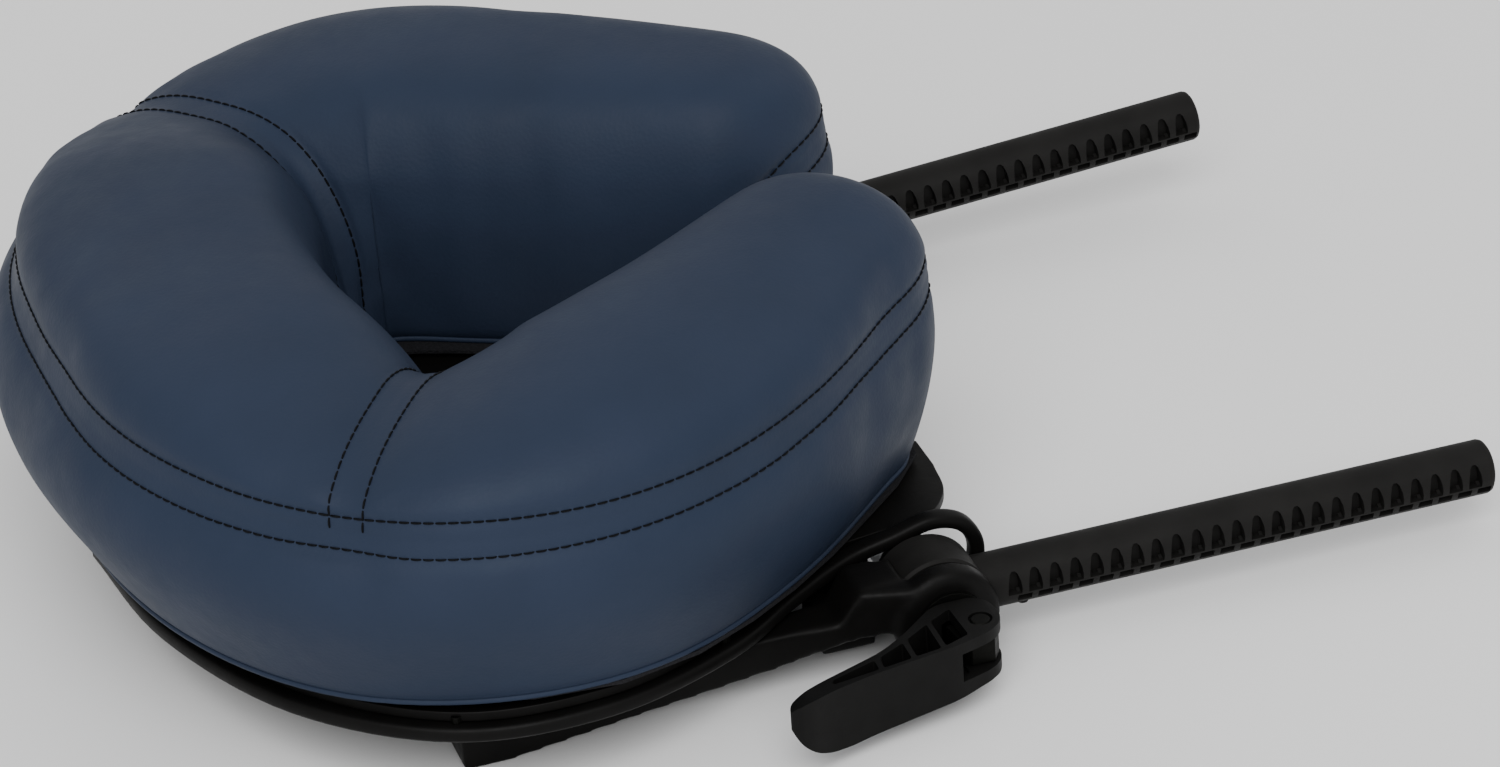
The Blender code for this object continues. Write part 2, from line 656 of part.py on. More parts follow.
def strip_faces(bm, grid, closed=False):
    faces = []
    columns = len(grid)
    for i in range(columns if closed else columns - 1):
        j = (i + 1) % columns
        for k in range(len(grid[0]) - 1):
            corners = [grid[i][k], grid[j][k], grid[j][k + 1], grid[i][k + 1]]
            kept = [v for n, v in enumerate(corners) if v not in corners[:n]]
            if len(kept) > 2:
                faces.append(bm.faces.new(kept))
    return faces


def foam_core(parent):
    """The closed foam pad inside the cover."""
    inset = SKIN_T + 3 * GAP
    ringed = ring_stations()
    low = PAD_Z + 0.0012 + 2 * GAP
    rows = [*SIDE_ROWS, *[1 + k / CROWN_ROWS for k in range(1, CROWN_ROWS + 1)]]
    bm = bmesh.new()
    grid = []
    for station in ringed:
        column = []
        for row in rows:
            point = pad_point(station, row, inset)
            point.z = max(point.z, low)
            column.append(bm.verts.new(point))
        grid.append(column)
    strip_faces(bm, grid, closed=True)
    bm.faces.new([column[0] for column in grid])
    bmesh.ops.remove_doubles(bm, verts=bm.verts, dist=0.00005)
    bmesh.ops.triangulate(bm, faces=[f for f in bm.faces if len(f.verts) > 4])
    return make("foam_core", bm, FOAM, parent, smooth=50)


def shell(name, patches, parent):
    """A skin of SKIN_T: patches are (stations, rows) grids that meet at the ridge."""
    bm = bmesh.new()
    layers = []
    for inset in (0.0, SKIN_T):
        for columns, rows in patches:
            layers.append((inset, [[bm.verts.new(pad_point(station, row, inset))
                                    for row in rows] for station in columns]))
    for inset, grid in layers:
        strip_faces(bm, grid)
    bmesh.ops.remove_doubles(bm, verts=bm.verts, dist=0.00005)
    edges = [e for e in bm.edges if e.is_boundary]
    bmesh.ops.bridge_loops(bm, edges=edges)
    return make(name, bm, VINYL, parent, smooth=50)


def between(a, b, share):
    """A station between two neighbours."""
    mix = [p + (q - p) * share for p, q in zip((a[0], a[1], a[3], a[4]), (b[0], b[1], b[3], b[4]))]
    out = a[2].lerp(b[2], share).normalized()
    return (mix[0], mix[1], out, mix[2], mix[3])


def trimmed(columns, start=True, end=True):
    """The columns with the first and last pulled in by half a seam gap."""
    columns = list(columns)
    if start:
        first = pad_point(columns[0], 1.0, 0.0) - pad_point(columns[1], 1.0, 0.0)
        columns[0] = between(columns[0], columns[1], SEAM_GAP / first.length)
    if end:
        last = pad_point(columns[-1], 1.0, 0.0) - pad_point(columns[-2], 1.0, 0.0)
        columns[-1] = between(columns[-1], columns[-2], SEAM_GAP / last.length)
    return columns


def mirrored_stations(columns):
    return [(x, -y, Vector((d.x, -d.y)), w, inner) for x, y, d, w, inner in columns]


def cushion(parent):
    """Foam, three top panels, the side band and the loop-faced base panel."""
    half = stations()
    count = len(ridge_samples())
    last = len(half) - 1
    seam_rise = SEAM_GAP / 0.040
    crown = [1 + seam_rise, *[1 + k / CROWN_ROWS for k in range(1, CROWN_ROWS + 1)]]
    lift = (0.0012 + GAP) / (SEAM_Z - PAD_Z)
    wall = [lift, *SIDE_ROWS[1:], *crown[1:]]
    side = [lift, SIDE_ROWS[1], 1 - seam_rise / 2]

    foam_core(parent)

    outer_front = half[:FRONT_SEAM + 1]
    inner_front = half[last - FRONT_SEAM:]
    shell("cover_front_panel", [
        (trimmed([*reversed(mirrored_stations(outer_front[1:])), *outer_front]), crown),
        (trimmed([*inner_front, *reversed(mirrored_stations(inner_front[:-1]))]), wall),
    ], parent)

    mouth = count + END_STEPS - 1 + MOUTH_SEAM
    round_end = half[FRONT_SEAM:mouth + 1]
    inside = half[mouth:last - FRONT_SEAM + 1]
    for name, flip in (("cover_far_arm_panel", False), ("cover_near_arm_panel", True)):
        first, second = trimmed(round_end, end=False), trimmed(inside)
        if flip:
            first, second = mirrored_stations(first), mirrored_stations(second)
        shell(name, [(first, crown), (second, wall)], parent)

    band = half[:mouth + 1]
    loop = trimmed([*reversed(mirrored_stations(band[1:])), *band])
    shell("cover_side_band", [(loop, side)], parent)

    outline = [pad_point(station, 0.0, 0.0) for station in ring_stations()]
    base = prism([(p.x, p.y) for p in outline], "Z", PAD_Z, PAD_Z + 0.0012)
    make("cover_base_panel", base, LOOP, parent)


def main():
    clear_scene()
    assembly = empty("assembly", (PIVOT_X, 0, 0))
    for build in (base_frame, flex_hoop, platform_plate, hook_strips, hoop_screws, foot_screws,
                  support_blocks, block_screws, spacer_tube, friction_washers, thrust_washer):
        build(assembly)
    near, far = SIDES
    post(near, 0.0, assembly)
    post(far, FAR_POST_PITCH, assembly)
    rod = empty("clamp_rod", (0, 0, PIVOT_Z), assembly)
    for build in (draw_rod, lock_nut, nut_washer):
        build(rod)
    for build in (cam_lever, lever_pin):
        build(rod)
    cushion(empty("cushion_pad", (0, 0, PAD_Z), assembly))


main()
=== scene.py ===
"""Looks of the massage-table face cradle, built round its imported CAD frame.

Blender 4.5, metres, +Z up. +X runs towards the table, -Y is the near side with the cam lever.
Finer pieces replace the cushion, posts, hoop, platform, lever and base frame in their places,
and every other CAD node gets a procedural material.
"""

import json
from math import copysign, cos, exp, hypot, pi, radians, sin, sqrt, tau

import bmesh
import bpy
import numpy as np
from mathutils import Matrix, Vector, noise
from mathutils.bvhtree import BVHTree
from mathutils.kdtree import KDTree


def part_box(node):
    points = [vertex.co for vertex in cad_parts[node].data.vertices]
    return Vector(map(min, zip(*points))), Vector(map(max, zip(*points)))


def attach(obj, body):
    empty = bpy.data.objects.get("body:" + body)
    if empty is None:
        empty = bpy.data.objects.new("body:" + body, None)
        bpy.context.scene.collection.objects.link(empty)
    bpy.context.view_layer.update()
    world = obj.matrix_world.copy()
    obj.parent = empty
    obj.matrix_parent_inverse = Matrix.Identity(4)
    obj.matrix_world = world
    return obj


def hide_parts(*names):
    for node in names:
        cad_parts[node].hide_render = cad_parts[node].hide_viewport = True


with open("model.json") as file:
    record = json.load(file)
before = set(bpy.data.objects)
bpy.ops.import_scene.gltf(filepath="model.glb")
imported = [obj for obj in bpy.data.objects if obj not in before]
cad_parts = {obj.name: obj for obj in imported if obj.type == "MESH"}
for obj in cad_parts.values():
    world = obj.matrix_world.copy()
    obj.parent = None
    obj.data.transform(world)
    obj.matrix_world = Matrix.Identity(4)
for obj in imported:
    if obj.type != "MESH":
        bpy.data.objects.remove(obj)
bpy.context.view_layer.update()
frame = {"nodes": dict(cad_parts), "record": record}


# ---- places read from the frame ----
def middle(node):
    low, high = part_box(node)
    return (low + high) / 2


PIVOT = middle("spacer_tube")  # middle of the pivot axis
PIVOT_X = PIVOT.x
PIVOT_Z = PIVOT.z
POST_SPACING = middle("far_post").y - middle("near_post").y
POST_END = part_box("near_post")[1].x - PIVOT_X
PLATE_LOW, PLATE_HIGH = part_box("platform_plate")
PAD_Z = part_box("cover_base_panel")[0].z  # underside of the cushion
COVER = 0.0019  # the cover and its gap, over the foam core
CREST_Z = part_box("foam_core")[1].z + COVER


# ---- small tools ----
def from_pivot(x, y, z):
    """A point in the row's frame, its x given from the pivot line."""
    return Vector((x + PIVOT_X, y, z))


def spline(points, steps):
    """Catmull-Rom samples through points of any size, as a numpy array."""
    pts = np.array(points, float)
    ends = np.vstack([2 * pts[0] - pts[1], pts, 2 * pts[-1] - pts[-2]])
    line = []
    for i in range(1, len(ends) - 2):
        p0, p1, p2, p3 = ends[i - 1:i + 3]
        for t in np.arange(steps) / steps:
            line.append(0.5 * (2 * p1 + (p2 - p0) * t + (2 * p0 - 5 * p1 + 4 * p2 - p3) * t ** 2
                               + (3 * p1 - p0 - 3 * p2 + p3) * t ** 3))
    line.append(pts[-1])
    return np.array(line)


def evenly(line, spacing):
    """The line resampled at about that spacing; its first columns, up to three, are places."""
    line = np.array(line, float)
    steps = np.linalg.norm(np.diff(line[:, :3], axis=0), axis=1)
    along = np.concatenate([[0.0], np.cumsum(steps)])
    count = max(2, int(round(along[-1] / spacing)) + 1)
    wanted = np.linspace(0.0, along[-1], count)
    return np.column_stack([np.interp(wanted, along, line[:, k]) for k in range(line.shape[1])])


def clamped(value):
    return min(max(value, 0.0), 1.0)


def between(low, high, share):
    return low + (high - low) * share


def bell(distance, reach):
    """1 at no distance, falling softly to nearly 0 at twice the reach."""
    return exp(-(distance / reach) ** 2)


def new_object(name, data, material=None):
    item = bpy.data.objects.new(name, data)
    if material:
        data.materials.append(material)
    bpy.context.scene.collection.objects.link(item)
    return item


def mesh_from(bm, name):
    """A new mesh with the bmesh's shape; the bmesh is freed."""
    mesh = bpy.data.meshes.new(name)
    bm.to_mesh(mesh)
    bm.free()
    return mesh


def new_piece(name, bm, material, smooth):
    """An object from a bmesh, shaded smooth up to an angle in degrees."""
    bmesh.ops.recalc_face_normals(bm, faces=bm.faces)
    mesh = mesh_from(bm, name)
    mesh.shade_smooth()
    mesh.set_sharp_from_angle(angle=radians(smooth))
    return new_object(name, mesh, material)


def applied(item):
    """The item's mesh with its modifiers applied, in place of the item."""
    graph = bpy.context.evaluated_depsgraph_get()
    mesh = bpy.data.meshes.new_from_object(item.evaluated_get(graph))
    bpy.data.objects.remove(item, do_unlink=True)
    return mesh


def on_axis(axis, height, u, v):
    """The point at that height along one axis, and at u and v on the other two."""
    return {"X": (height, u, v), "Y": (u, height, v), "Z": (u, v, height)}[axis]


def rectangle(a, b):
    """The outline between the two values of a and the two of b."""
    return [(a[0], b[0]), (a[1], b[0]), (a[1], b[1]), (a[0], b[1])]


def circle(count):
    """The cosine and sine of that many even turns."""
    return [(cos(tau * k / count), sin(tau * k / count)) for k in range(count)]


def bridge(bm, near, far):
    """Quads between two rings of as many vertices."""
    count = len(near)
    for k in range(count):
        m = (k + 1) % count
        bm.faces.new((near[k], near[m], far[m], far[k]))


def close_up(bm, rings):
    """Quads from each ring of vertices to the next, and a cap on each end."""
    for near, far in zip(rings, rings[1:]):
        bridge(bm, near, far)
    bm.faces.new(rings[0])
    bm.faces.new(rings[-1])


def loft(rings):
    """A closed bmesh through rings of points."""
    bm = bmesh.new()
    close_up(bm, [[bm.verts.new(point) for point in ring] for ring in rings])
    bmesh.ops.recalc_face_normals(bm, faces=bm.faces)
    return bm


def prism(points, axis, low, high):
    """A closed prism: the outline in the plane across axis, between low and high."""
    return loft([[on_axis(axis, height, a, b) for a, b in points] for height in (low, high)])


def turned(profile, axis, a=0.0, b=0.0, count=48):
    """A solid of revolution: profile is (height, radius) pairs, both ends closed."""
    return loft([[on_axis(axis, height, a + radius * c, b + radius * s) for c, s in circle(count)]
                 for height, radius in profile])


def joined(parts):
    """Several bmeshes as one, its bodies apart."""
    whole = bmesh.new()
    for part in parts:
        mesh = mesh_from(part, "part")
        whole.from_mesh(mesh)
        bpy.data.meshes.remove(mesh)
    return whole


def boolean(base, tool, operation):
    """The base bmesh after an exact Boolean with the tool."""
    subject, cutter = [new_object("solid", mesh_from(bm, "solid")) for bm in (base, tool)]
    step = subject.modifiers.new(operation, "BOOLEAN")
    step.operation = operation
    step.solver = "EXACT"
    step.object = cutter
    result = bmesh.new()
    result.from_mesh(applied(subject))
    bpy.data.objects.remove(cutter, do_unlink=True)
    bmesh.ops.remove_doubles(result, verts=result.verts, dist=0.00001)
    bmesh.ops.dissolve_limit(result, angle_limit=radians(0.5), verts=result.verts,
                             edges=result.edges)
    return result


def soften(item, width, segments, angle):
    """Rounded edges where faces meet at more than the angle in degrees."""
    bevel = item.modifiers.new("rounded_edges", "BEVEL")
    bevel.width = width
    bevel.segments = segments
    bevel.limit_method = "ANGLE"
    bevel.angle_limit = radians(angle)
    bevel.use_clamp_overlap = True
    bevel.miter_outer = "MITER_ARC"
    shade = item.modifiers.new("even_shading", "WEIGHTED_NORMAL")
    shade.keep_sharp = True


def tube(path, sizes, power, count):
    """A closed band along the path; its superellipse sections' sizes are (width, thickness)."""
    rings = []
    side = Vector((0, 1, 0))
    for i, point in enumerate(path):
        ahead = Vector(path[min(i + 1, len(path) - 1)]) - Vector(path[max(i - 1, 0)])
        ahead.normalize()
        side = (side - ahead * side.dot(ahead)).normalized()
        up = ahead.cross(side)
        width, depth = sizes[i]
        ring = []
        for c, s in circle(count):
            a = copysign(abs(c) ** (2 / power), c) * width / 2
            b = copysign(abs(s) ** (2 / power), s) * depth / 2
            ring.append(Vector(point) + side * a + up * b)
        rings.append(ring)
    return loft(rings)


# ---- materials ----
NOISE_RANGE = (0.3, 0.7)  # where most of a noise's values lie


class Nodes:
    """A short way to write a node tree."""

    def __init__(self, name):
        self.material = bpy.data.materials.new(name)
        self.material.use_nodes = True
        self.tree = self.material.node_tree

    def add(self, kind, **values):
        node = self.tree.nodes.new(kind)
        for key, value in values.items():
            if key in node.inputs:
                node.inputs[key].default_value = value
            else:
                setattr(node, key, value)
        return node

    def link(self, source, target):
        self.tree.links.new(source, target)

    def noise(self, scale, detail=3.0, roughness=0.5, stretch=None):
        return self.texture("Noise", "Fac", stretch, Scale=scale, Detail=detail,
                            Roughness=roughness)

    def cells(self, scale):
        return self.texture("Voronoi", "Distance", Scale=scale)

    def texture(self, kind, output, stretch=None, **values):
        """A texture in the object's own metres, stretched along its axes if asked."""
        node = self.add("ShaderNodeTex" + kind, **values)
        place = self.add("ShaderNodeTexCoord").outputs["Object"]
        if stretch:
            mapping = self.add("ShaderNodeMapping", Scale=stretch)
            self.link(place, mapping.inputs["Vector"])
            place = mapping.outputs["Vector"]
        self.link(place, node.inputs["Vector"])
        return node.outputs[output]

    def ramp(self, source, low, high):
        """A colour between low and high, from the middle of a noise's range."""
        node = self.add("ShaderNodeValToRGB")
        for stop, place, colour in zip(node.color_ramp.elements, NOISE_RANGE, (low, high)):
            stop.position = place
            stop.color = (*colour, 1.0)
        self.link(source, node.inputs["Fac"])
        return node.outputs["Color"]

    def spread(self, source, low, high):
        """A value between low and high, from the middle of a noise's range."""
        node = self.add("ShaderNodeMapRange", **{
            "From Min": NOISE_RANGE[0], "From Max": NOISE_RANGE[1], "To Min": low, "To Max": high})
        self.link(source, node.inputs["Value"])
        return node.outputs["Result"]

    def bump(self, height, depth, strength, under=None):
        """A raised surface, over another one if under is given."""
        node = self.add("ShaderNodeBump", Distance=depth, Strength=strength)
        self.link(height, node.inputs["Height"])
        if under:
            self.link(under, node.inputs["Normal"])
        return node.outputs["Normal"]

    def finish(self, colour, roughness, normal, metallic=0.0, specular=0.5):
        inputs = self.tree.nodes["Principled BSDF"].inputs
        self.link(colour, inputs["Base Color"])
        self.link(roughness, inputs["Roughness"])
        self.link(normal, inputs["Normal"])
        inputs["Metallic"].default_value = metallic
        inputs["Specular IOR Level"].default_value = specular
        return self.material


def shade_of(colour, factor):
    return tuple(c * factor for c in colour)


def moulded(name, colour, roughness=0.45, grain=900.0, depth=0.00006, specular=0.1):
    """Moulded nylon with a fine spark-eroded grain, slight mottling and worn patches."""
    n = Nodes(name)
    tint = n.ramp(n.noise(60.0, 4.0, 0.6), shade_of(colour, 0.82), shade_of(colour, 1.22))
    rough = n.spread(n.noise(140.0, 5.0, 0.65), roughness - 0.07, roughness + 0.08)
    fine = n.bump(n.noise(grain, 2.0, 0.5), depth, 0.6)
    flow = n.bump(n.noise(35.0, 2.0), 0.0002, 0.12, fine)
    return n.finish(tint, rough, flow, specular=specular)


def vinyl(name, colour):
    """Upholstery vinyl: pebbled grain of about a millimetre over faint, broad waves."""
    n = Nodes(name)
    tint = n.ramp(n.noise(22.0, 5.0, 0.55), shade_of(colour, 0.93), shade_of(colour, 1.08))
    rough = n.spread(n.noise(90.0, 4.0, 0.6), 0.48, 0.58)
    pebble = n.bump(n.cells(850.0), 0.00012, 0.35)
    soft = n.bump(n.noise(420.0, 3.0, 0.6), 0.0001, 0.3, pebble)
    return n.finish(tint, rough, soft, specular=0.11)


def metal(name, colour, roughness, stretch):
    """Plated or drawn metal, its scratches stretched along one axis."""
    n = Nodes(name)
    tint = n.ramp(n.noise(80.0, 4.0), shade_of(colour, 0.88), colour)
    rough = n.spread(n.noise(260.0, 4.0, 0.6, stretch), roughness - 0.06, roughness + 0.1)
    lines = n.bump(n.noise(700.0, 3.0, 0.6, stretch), 0.00003, 0.35)
    return n.finish(tint, rough, lines, metallic=1.0)


def fibrous(name, colour, roughness, grain, depth, strength):
    """Felted, foamed or looped surfaces."""
    n = Nodes(name)
    tint = n.ramp(n.noise(grain, 3.0, 0.7), shade_of(colour, 0.7), shade_of(colour, 1.3))
    rough = n.spread(n.noise(grain * 0.4), roughness - 0.05, min(roughness + 0.04, 1.0))
    return n.finish(tint, rough, n.bump(n.cells(grain), depth, strength), specular=0.1)


def thread_material():
    """Twisted thread: ridges wound across the stitch."""
    n = Nodes("dark_thread")
    tint = n.ramp(n.noise(900.0), (0.0012, 0.0014, 0.002), (0.004, 0.0045, 0.006))
    rough = n.spread(n.noise(500.0), 0.62, 0.8)
    wave = n.texture("Wave", "Fac", Scale=900.0, Distortion=2.0)
    return n.finish(tint, rough, n.bump(wave, 0.00008, 0.5), specular=0.1)


BLACK = (0.0034, 0.0032, 0.003)
NAVY = (0.0195, 0.0285, 0.052)
MATERIALS = {
    "black_nylon": moulded("black_nylon_moulding", BLACK, 0.46),
    "lever_nylon": moulded("lever_nylon_moulding", (0.0048, 0.0047, 0.0045), 0.52),
    "zinc_steel": metal("zinc_plated_steel", (0.62, 0.62, 0.6), 0.3, (1.0, 1.0, 9.0)),
    "alloy_tube": metal("drawn_alloy", (0.66, 0.67, 0.68), 0.34, (9.0, 1.0, 1.0)),
    "friction_fibre": fibrous("friction_fibre_felt", (0.06, 0.05, 0.044), 0.88, 1500.0,
                              0.0001, 0.5),
    "navy_vinyl": vinyl("navy_vinyl_grain", NAVY),
    "loop_fabric": fibrous("brushed_loop_fabric", (0.014, 0.014, 0.016), 0.93, 1300.0,
                           0.0003, 0.8),
    "hook_tape": fibrous("hook_tape_bristle", (0.009, 0.009, 0.009), 0.9, 1100.0, 0.0004, 0.9),
    "memory_foam": fibrous("foam_cells", (0.78, 0.7, 0.48), 0.95, 900.0, 0.0004, 0.8),
    "rubber": moulded("moulded_rubber", (0.016, 0.016, 0.016), 0.8, 500.0, 0.0001, 0.25),
}
DARK_STEEL = metal("blackened_steel", (0.012, 0.012, 0.011), 0.55, (1.0, 1.0, 6.0))
POST_NYLON = moulded("post_nylon_moulding", (0.0095, 0.0091, 0.0086), 0.54)
THREAD = thread_material()
DARK_NODES = ("hoop_screw", "lever_pin", "draw_rod", "thrust_washer")  # how their names start


def finish_cad_nodes():
    """Every carried-over CAD node gets its slot's procedural material and softened edges."""
    for part in frame["record"]["subparts"]:
        node = frame["nodes"][part["node"]]
        dark = part["node"].startswith(DARK_NODES)
        for place in node.material_slots:
            place.link = "OBJECT"
            place.material = DARK_STEEL if dark else MATERIALS[part["material_slot"]]
        weld = node.modifiers.new("weld", "WELD")
        weld.merge_threshold = 0.00001
        soften(node, 0.00018, 2, 35)


# ---- cushion ----
# Ridge of the cushion, from the near arm's end round the front to the far arm's end:
# x and y from the pivot line, half width outside and inside, rise of the crest, swell of the
# side band and how far its foot tucks under.
RIDGE = [
    (-0.0115, -0.049, 0.0355, 0.035, 0.0, 0.001, 0.009),
    (-0.058, -0.084, 0.044, 0.042, 0.0, 0.002, 0.011),
    (-0.1, -0.1035, 0.046, 0.045, 0.0, 0.004, 0.011),
    (-0.141, -0.09, 0.047, 0.045, 0.0, 0.006, 0.008),
    (-0.168, -0.052, 0.045, 0.044, 0.0, 0.009, 0.006),
    (-0.178, 0.001, 0.044, 0.044, 0.0, 0.01, 0.005),
    (-0.17, 0.057, 0.047, 0.045, 0.0005, 0.009, 0.006),
    (-0.144, 0.095, 0.047, 0.046, 0.0005, 0.006, 0.008),
    (-0.101, 0.106, 0.046, 0.046, 0.0, 0.004, 0.011),
    (-0.058, 0.0825, 0.044, 0.042, -0.001, 0.002, 0.011),
    (-0.0085, 0.05, 0.0375, 0.035, -0.0015, 0.001, 0.009),
]
RIDGE_STEPS = 12
SEAM_Z = 0.088  # join between top panels and side band
PAD_FOOT_Z = PAD_Z + 0.0004
GRID = 0.0045  # spacing of the cushion's stations
ACROSS = 24  # cells over the crown
CAP = 10  # cells round each arm's end
WALL = 14  # rows down the side
CROWN_POWER = 2.27
INNER_POWER = 3.8  # roundness of the hole's wall, crest to foot
INNER_TUCK = 0.007  # how far the hole's wall leans back at its foot
FOOT_INSET = 0.003  # rounding of the foot's edge
SEAM_CORNERS = {3: 0.009, 7: 0.0125}  # ridge rows that radial seams cross: dip of the crest
DIP_REACH = 0.0225  # how far along the ridge each dip spreads
DIP_POWER = 1.5  # how much rounder the hole's wall is in the dip

# Cloth simulation
CLOTH = dict(
    quality=6, mass=0.25, air_damping=1.5, use_pressure=True, uniform_pressure_force=1.3,
    tension_stiffness=25, compression_stiffness=25, shear_stiffness=12, bending_stiffness=0.8,
    vertex_group_mass="held", vertex_group_shrink="tight", shrink_min=-0.004, shrink_max=0.012)
INFLATE_FRAMES = 20
MOST_MOVE = 0.0028  # no point moves further than this
HELD_HEIGHT = 0.0005  # how far over the foot's rounding the cover is held
CALM_HEIGHT = 0.001  # and how far over it the smoothing starts
TIGHT_REACH = 0.006  # how far the tightness of a seam spreads
CALM_ROUNDS = 3

# Seams
ROW_OFFSET = 0.005  # stitch rows either side of a join
ROW_SPACING = 0.0012  # between a row's points
WALK_PACE = 0.0007  # a row is walked sideways over the surface in steps of this
MOUTH_DROP = 10  # rim places past the arm end's corner where the join meets the foot
MOUTH_CURVE = 2.2  # how late the join turns down there
DROP = 0.008  # how far a row may lie from the surface that it is carried onto

# How deep the cover is pressed in, and how far to the side that spreads
ROW_GROOVE = (0.0009, 0.0013)
JOIN_GROOVE = (0.0003, 0.001)
JOIN_HOLLOW = (0.0008, 0.0095)
CORNER_HOLLOW = (0.0018, 0.015)  # where a radial seam meets the side band
PRESS_REACH = 0.035  # nothing is pressed further than this from a row

# Puckers beside the seams
PUCKER = 0.0008
CORNER_PUCKER = (0.0013, 0.03)
PUCKER_LENGTH = 0.0105  # along the seam, from one pucker to the next
PUCKER_WIDTH = 0.006  # from the row to where a pucker is deepest
PUCKER_SEED = 3.7

# Folds on the hole's long walls: place along the arm, width and depth of each
FOLDS = [(-0.066, 0.004, 0.00112), (-0.079, 0.005, 0.00096), (-0.093, 0.004, 0.00128),
         (-0.107, 0.008, 0.00056)]
FOLD_LEAN = 0.006  # how far a fold leans between foot and crest
HOLE_HALF = 0.088  # the folds stay this close to the middle

# Thread and welt
STITCH = 0.003
STITCH_GAP = 0.0003
THREAD_R = 0.00031
THREAD_SIDES = 6
STITCH_SHAPE = [(-0.5, -0.5, 0.55), (-0.4, 0.3, 0.9), (-0.15, 0.75, 1.0), (0.15, 0.75, 1.0),
                (0.4, 0.3, 0.9), (0.5, -0.5, 0.55)]  # share along, lift and size in radii
WELT_Z = PAD_FOOT_Z + 0.0016
WELT_HALF = (0.00064, 0.00088)  # half its width and half its height
WELT_SIDES = 8


class Station:
    """A cross-section of the cushion."""

    def __init__(self, row, tangent):
        self.centre = Vector((row[0], row[1]))
        self.along = Vector(tangent).normalized()
        self.out = Vector((-self.along.y, self.along.x))
        self.outer, self.inner, self.rise, self.swell, self.tuck = row[3:8]
        self.power = INNER_POWER
        self.lean = INNER_TUCK
        for place, dip in SEAM_CORNERS.items():
            gap = (self.centre - Vector(RIDGE[place][:2])).length
            near = exp(-0.5 * (gap / DIP_REACH) ** 2)
            self.rise -= dip * near
            self.power -= DIP_POWER * near
            self.lean -= INNER_TUCK * near

    def crest(self):
        return CREST_Z + self.rise

    def inner_reach(self, z):
        """How far the hole's wall stands from the ridge at that height, as a share."""
        share = (z - PAD_FOOT_Z) / (self.crest() - PAD_FOOT_Z)
        return arch(share, self.power)

    def half(self, side):
        """Half width at the seam's height; side is 0 on the hole's side, 1 outside."""
        return between(self.inner * self.inner_reach(SEAM_Z), self.outer, side)

    def top(self, r, side):
        """Height of the top at r, from 0 on the ridge to 1 at the seam's height."""
        hole = arch(self.inner_reach(SEAM_Z) * min(r, 1.0), self.power)
        hole = between(PAD_FOOT_Z, self.crest(), hole)
        crown = between(SEAM_Z, self.crest(), arch(r, CROWN_POWER))
        return between(hole, crown, side)

    def bulge(self, t, z, side, full):
        """How far the side stands out past the seam, t of the way down."""
        hole = self.inner * (self.inner_reach(z) - self.inner_reach(SEAM_Z)) - self.lean * t ** 1.5
        band = full * self.swell * sin(pi * t ** 0.8) ** 1.5 - self.tuck * t * t
        return between(hole, band, side)


def arch(x, power):
    """A curve from 1 at 0 down to 0 at 1, squarer for a high power."""
    return max(1.0 - min(x, 1.0) ** power, 0.0) ** (1 / power)


def smooth_step(y):
    """0 at -1, 1 at 1 and level at both."""
    t = clamped((y + 1) / 2)
    return t * t * (3 - 2 * t)


def cushion_stations():
    rows = spline([(x, y, 0.0, *rest) for x, y, *rest in RIDGE], RIDGE_STEPS)
    rows = evenly(rows, GRID)
    tangents = np.gradient(rows[:, :2], axis=0)
    return [Station(row, tangent) for row, tangent in zip(rows, tangents)]


def grid_rows():
    """The station of each row of the top grid, and how far past the arm's end the row is."""
    stations = cushion_stations()
    past = [sin(k / CAP * (pi / 2)) for k in range(1, CAP + 1)]
    rows = [(stations[0], -x) for x in reversed(past)]
    rows += [(station, 0.0) for station in stations]
    rows += [(stations[-1], x) for x in past]
    return rows


def disc_point(x, y):
    """A square's point carried onto a disc, so that the arm's end has no pole."""
    return x * sqrt(1 - y * y / 2), y * sqrt(1 - x * x / 2)


def rim_places(rows, columns):
    """Places of the top grid's edge in order: outside, far end, inside, near end."""
    places = [(i, columns - 1) for i in range(rows)]
    places += [(rows - 1, j) for j in range(columns - 2, -1, -1)]
    places += [(i, 0) for i in range(rows - 2, -1, -1)]
    places += [(0, j) for j in range(1, columns - 1)]
    return places


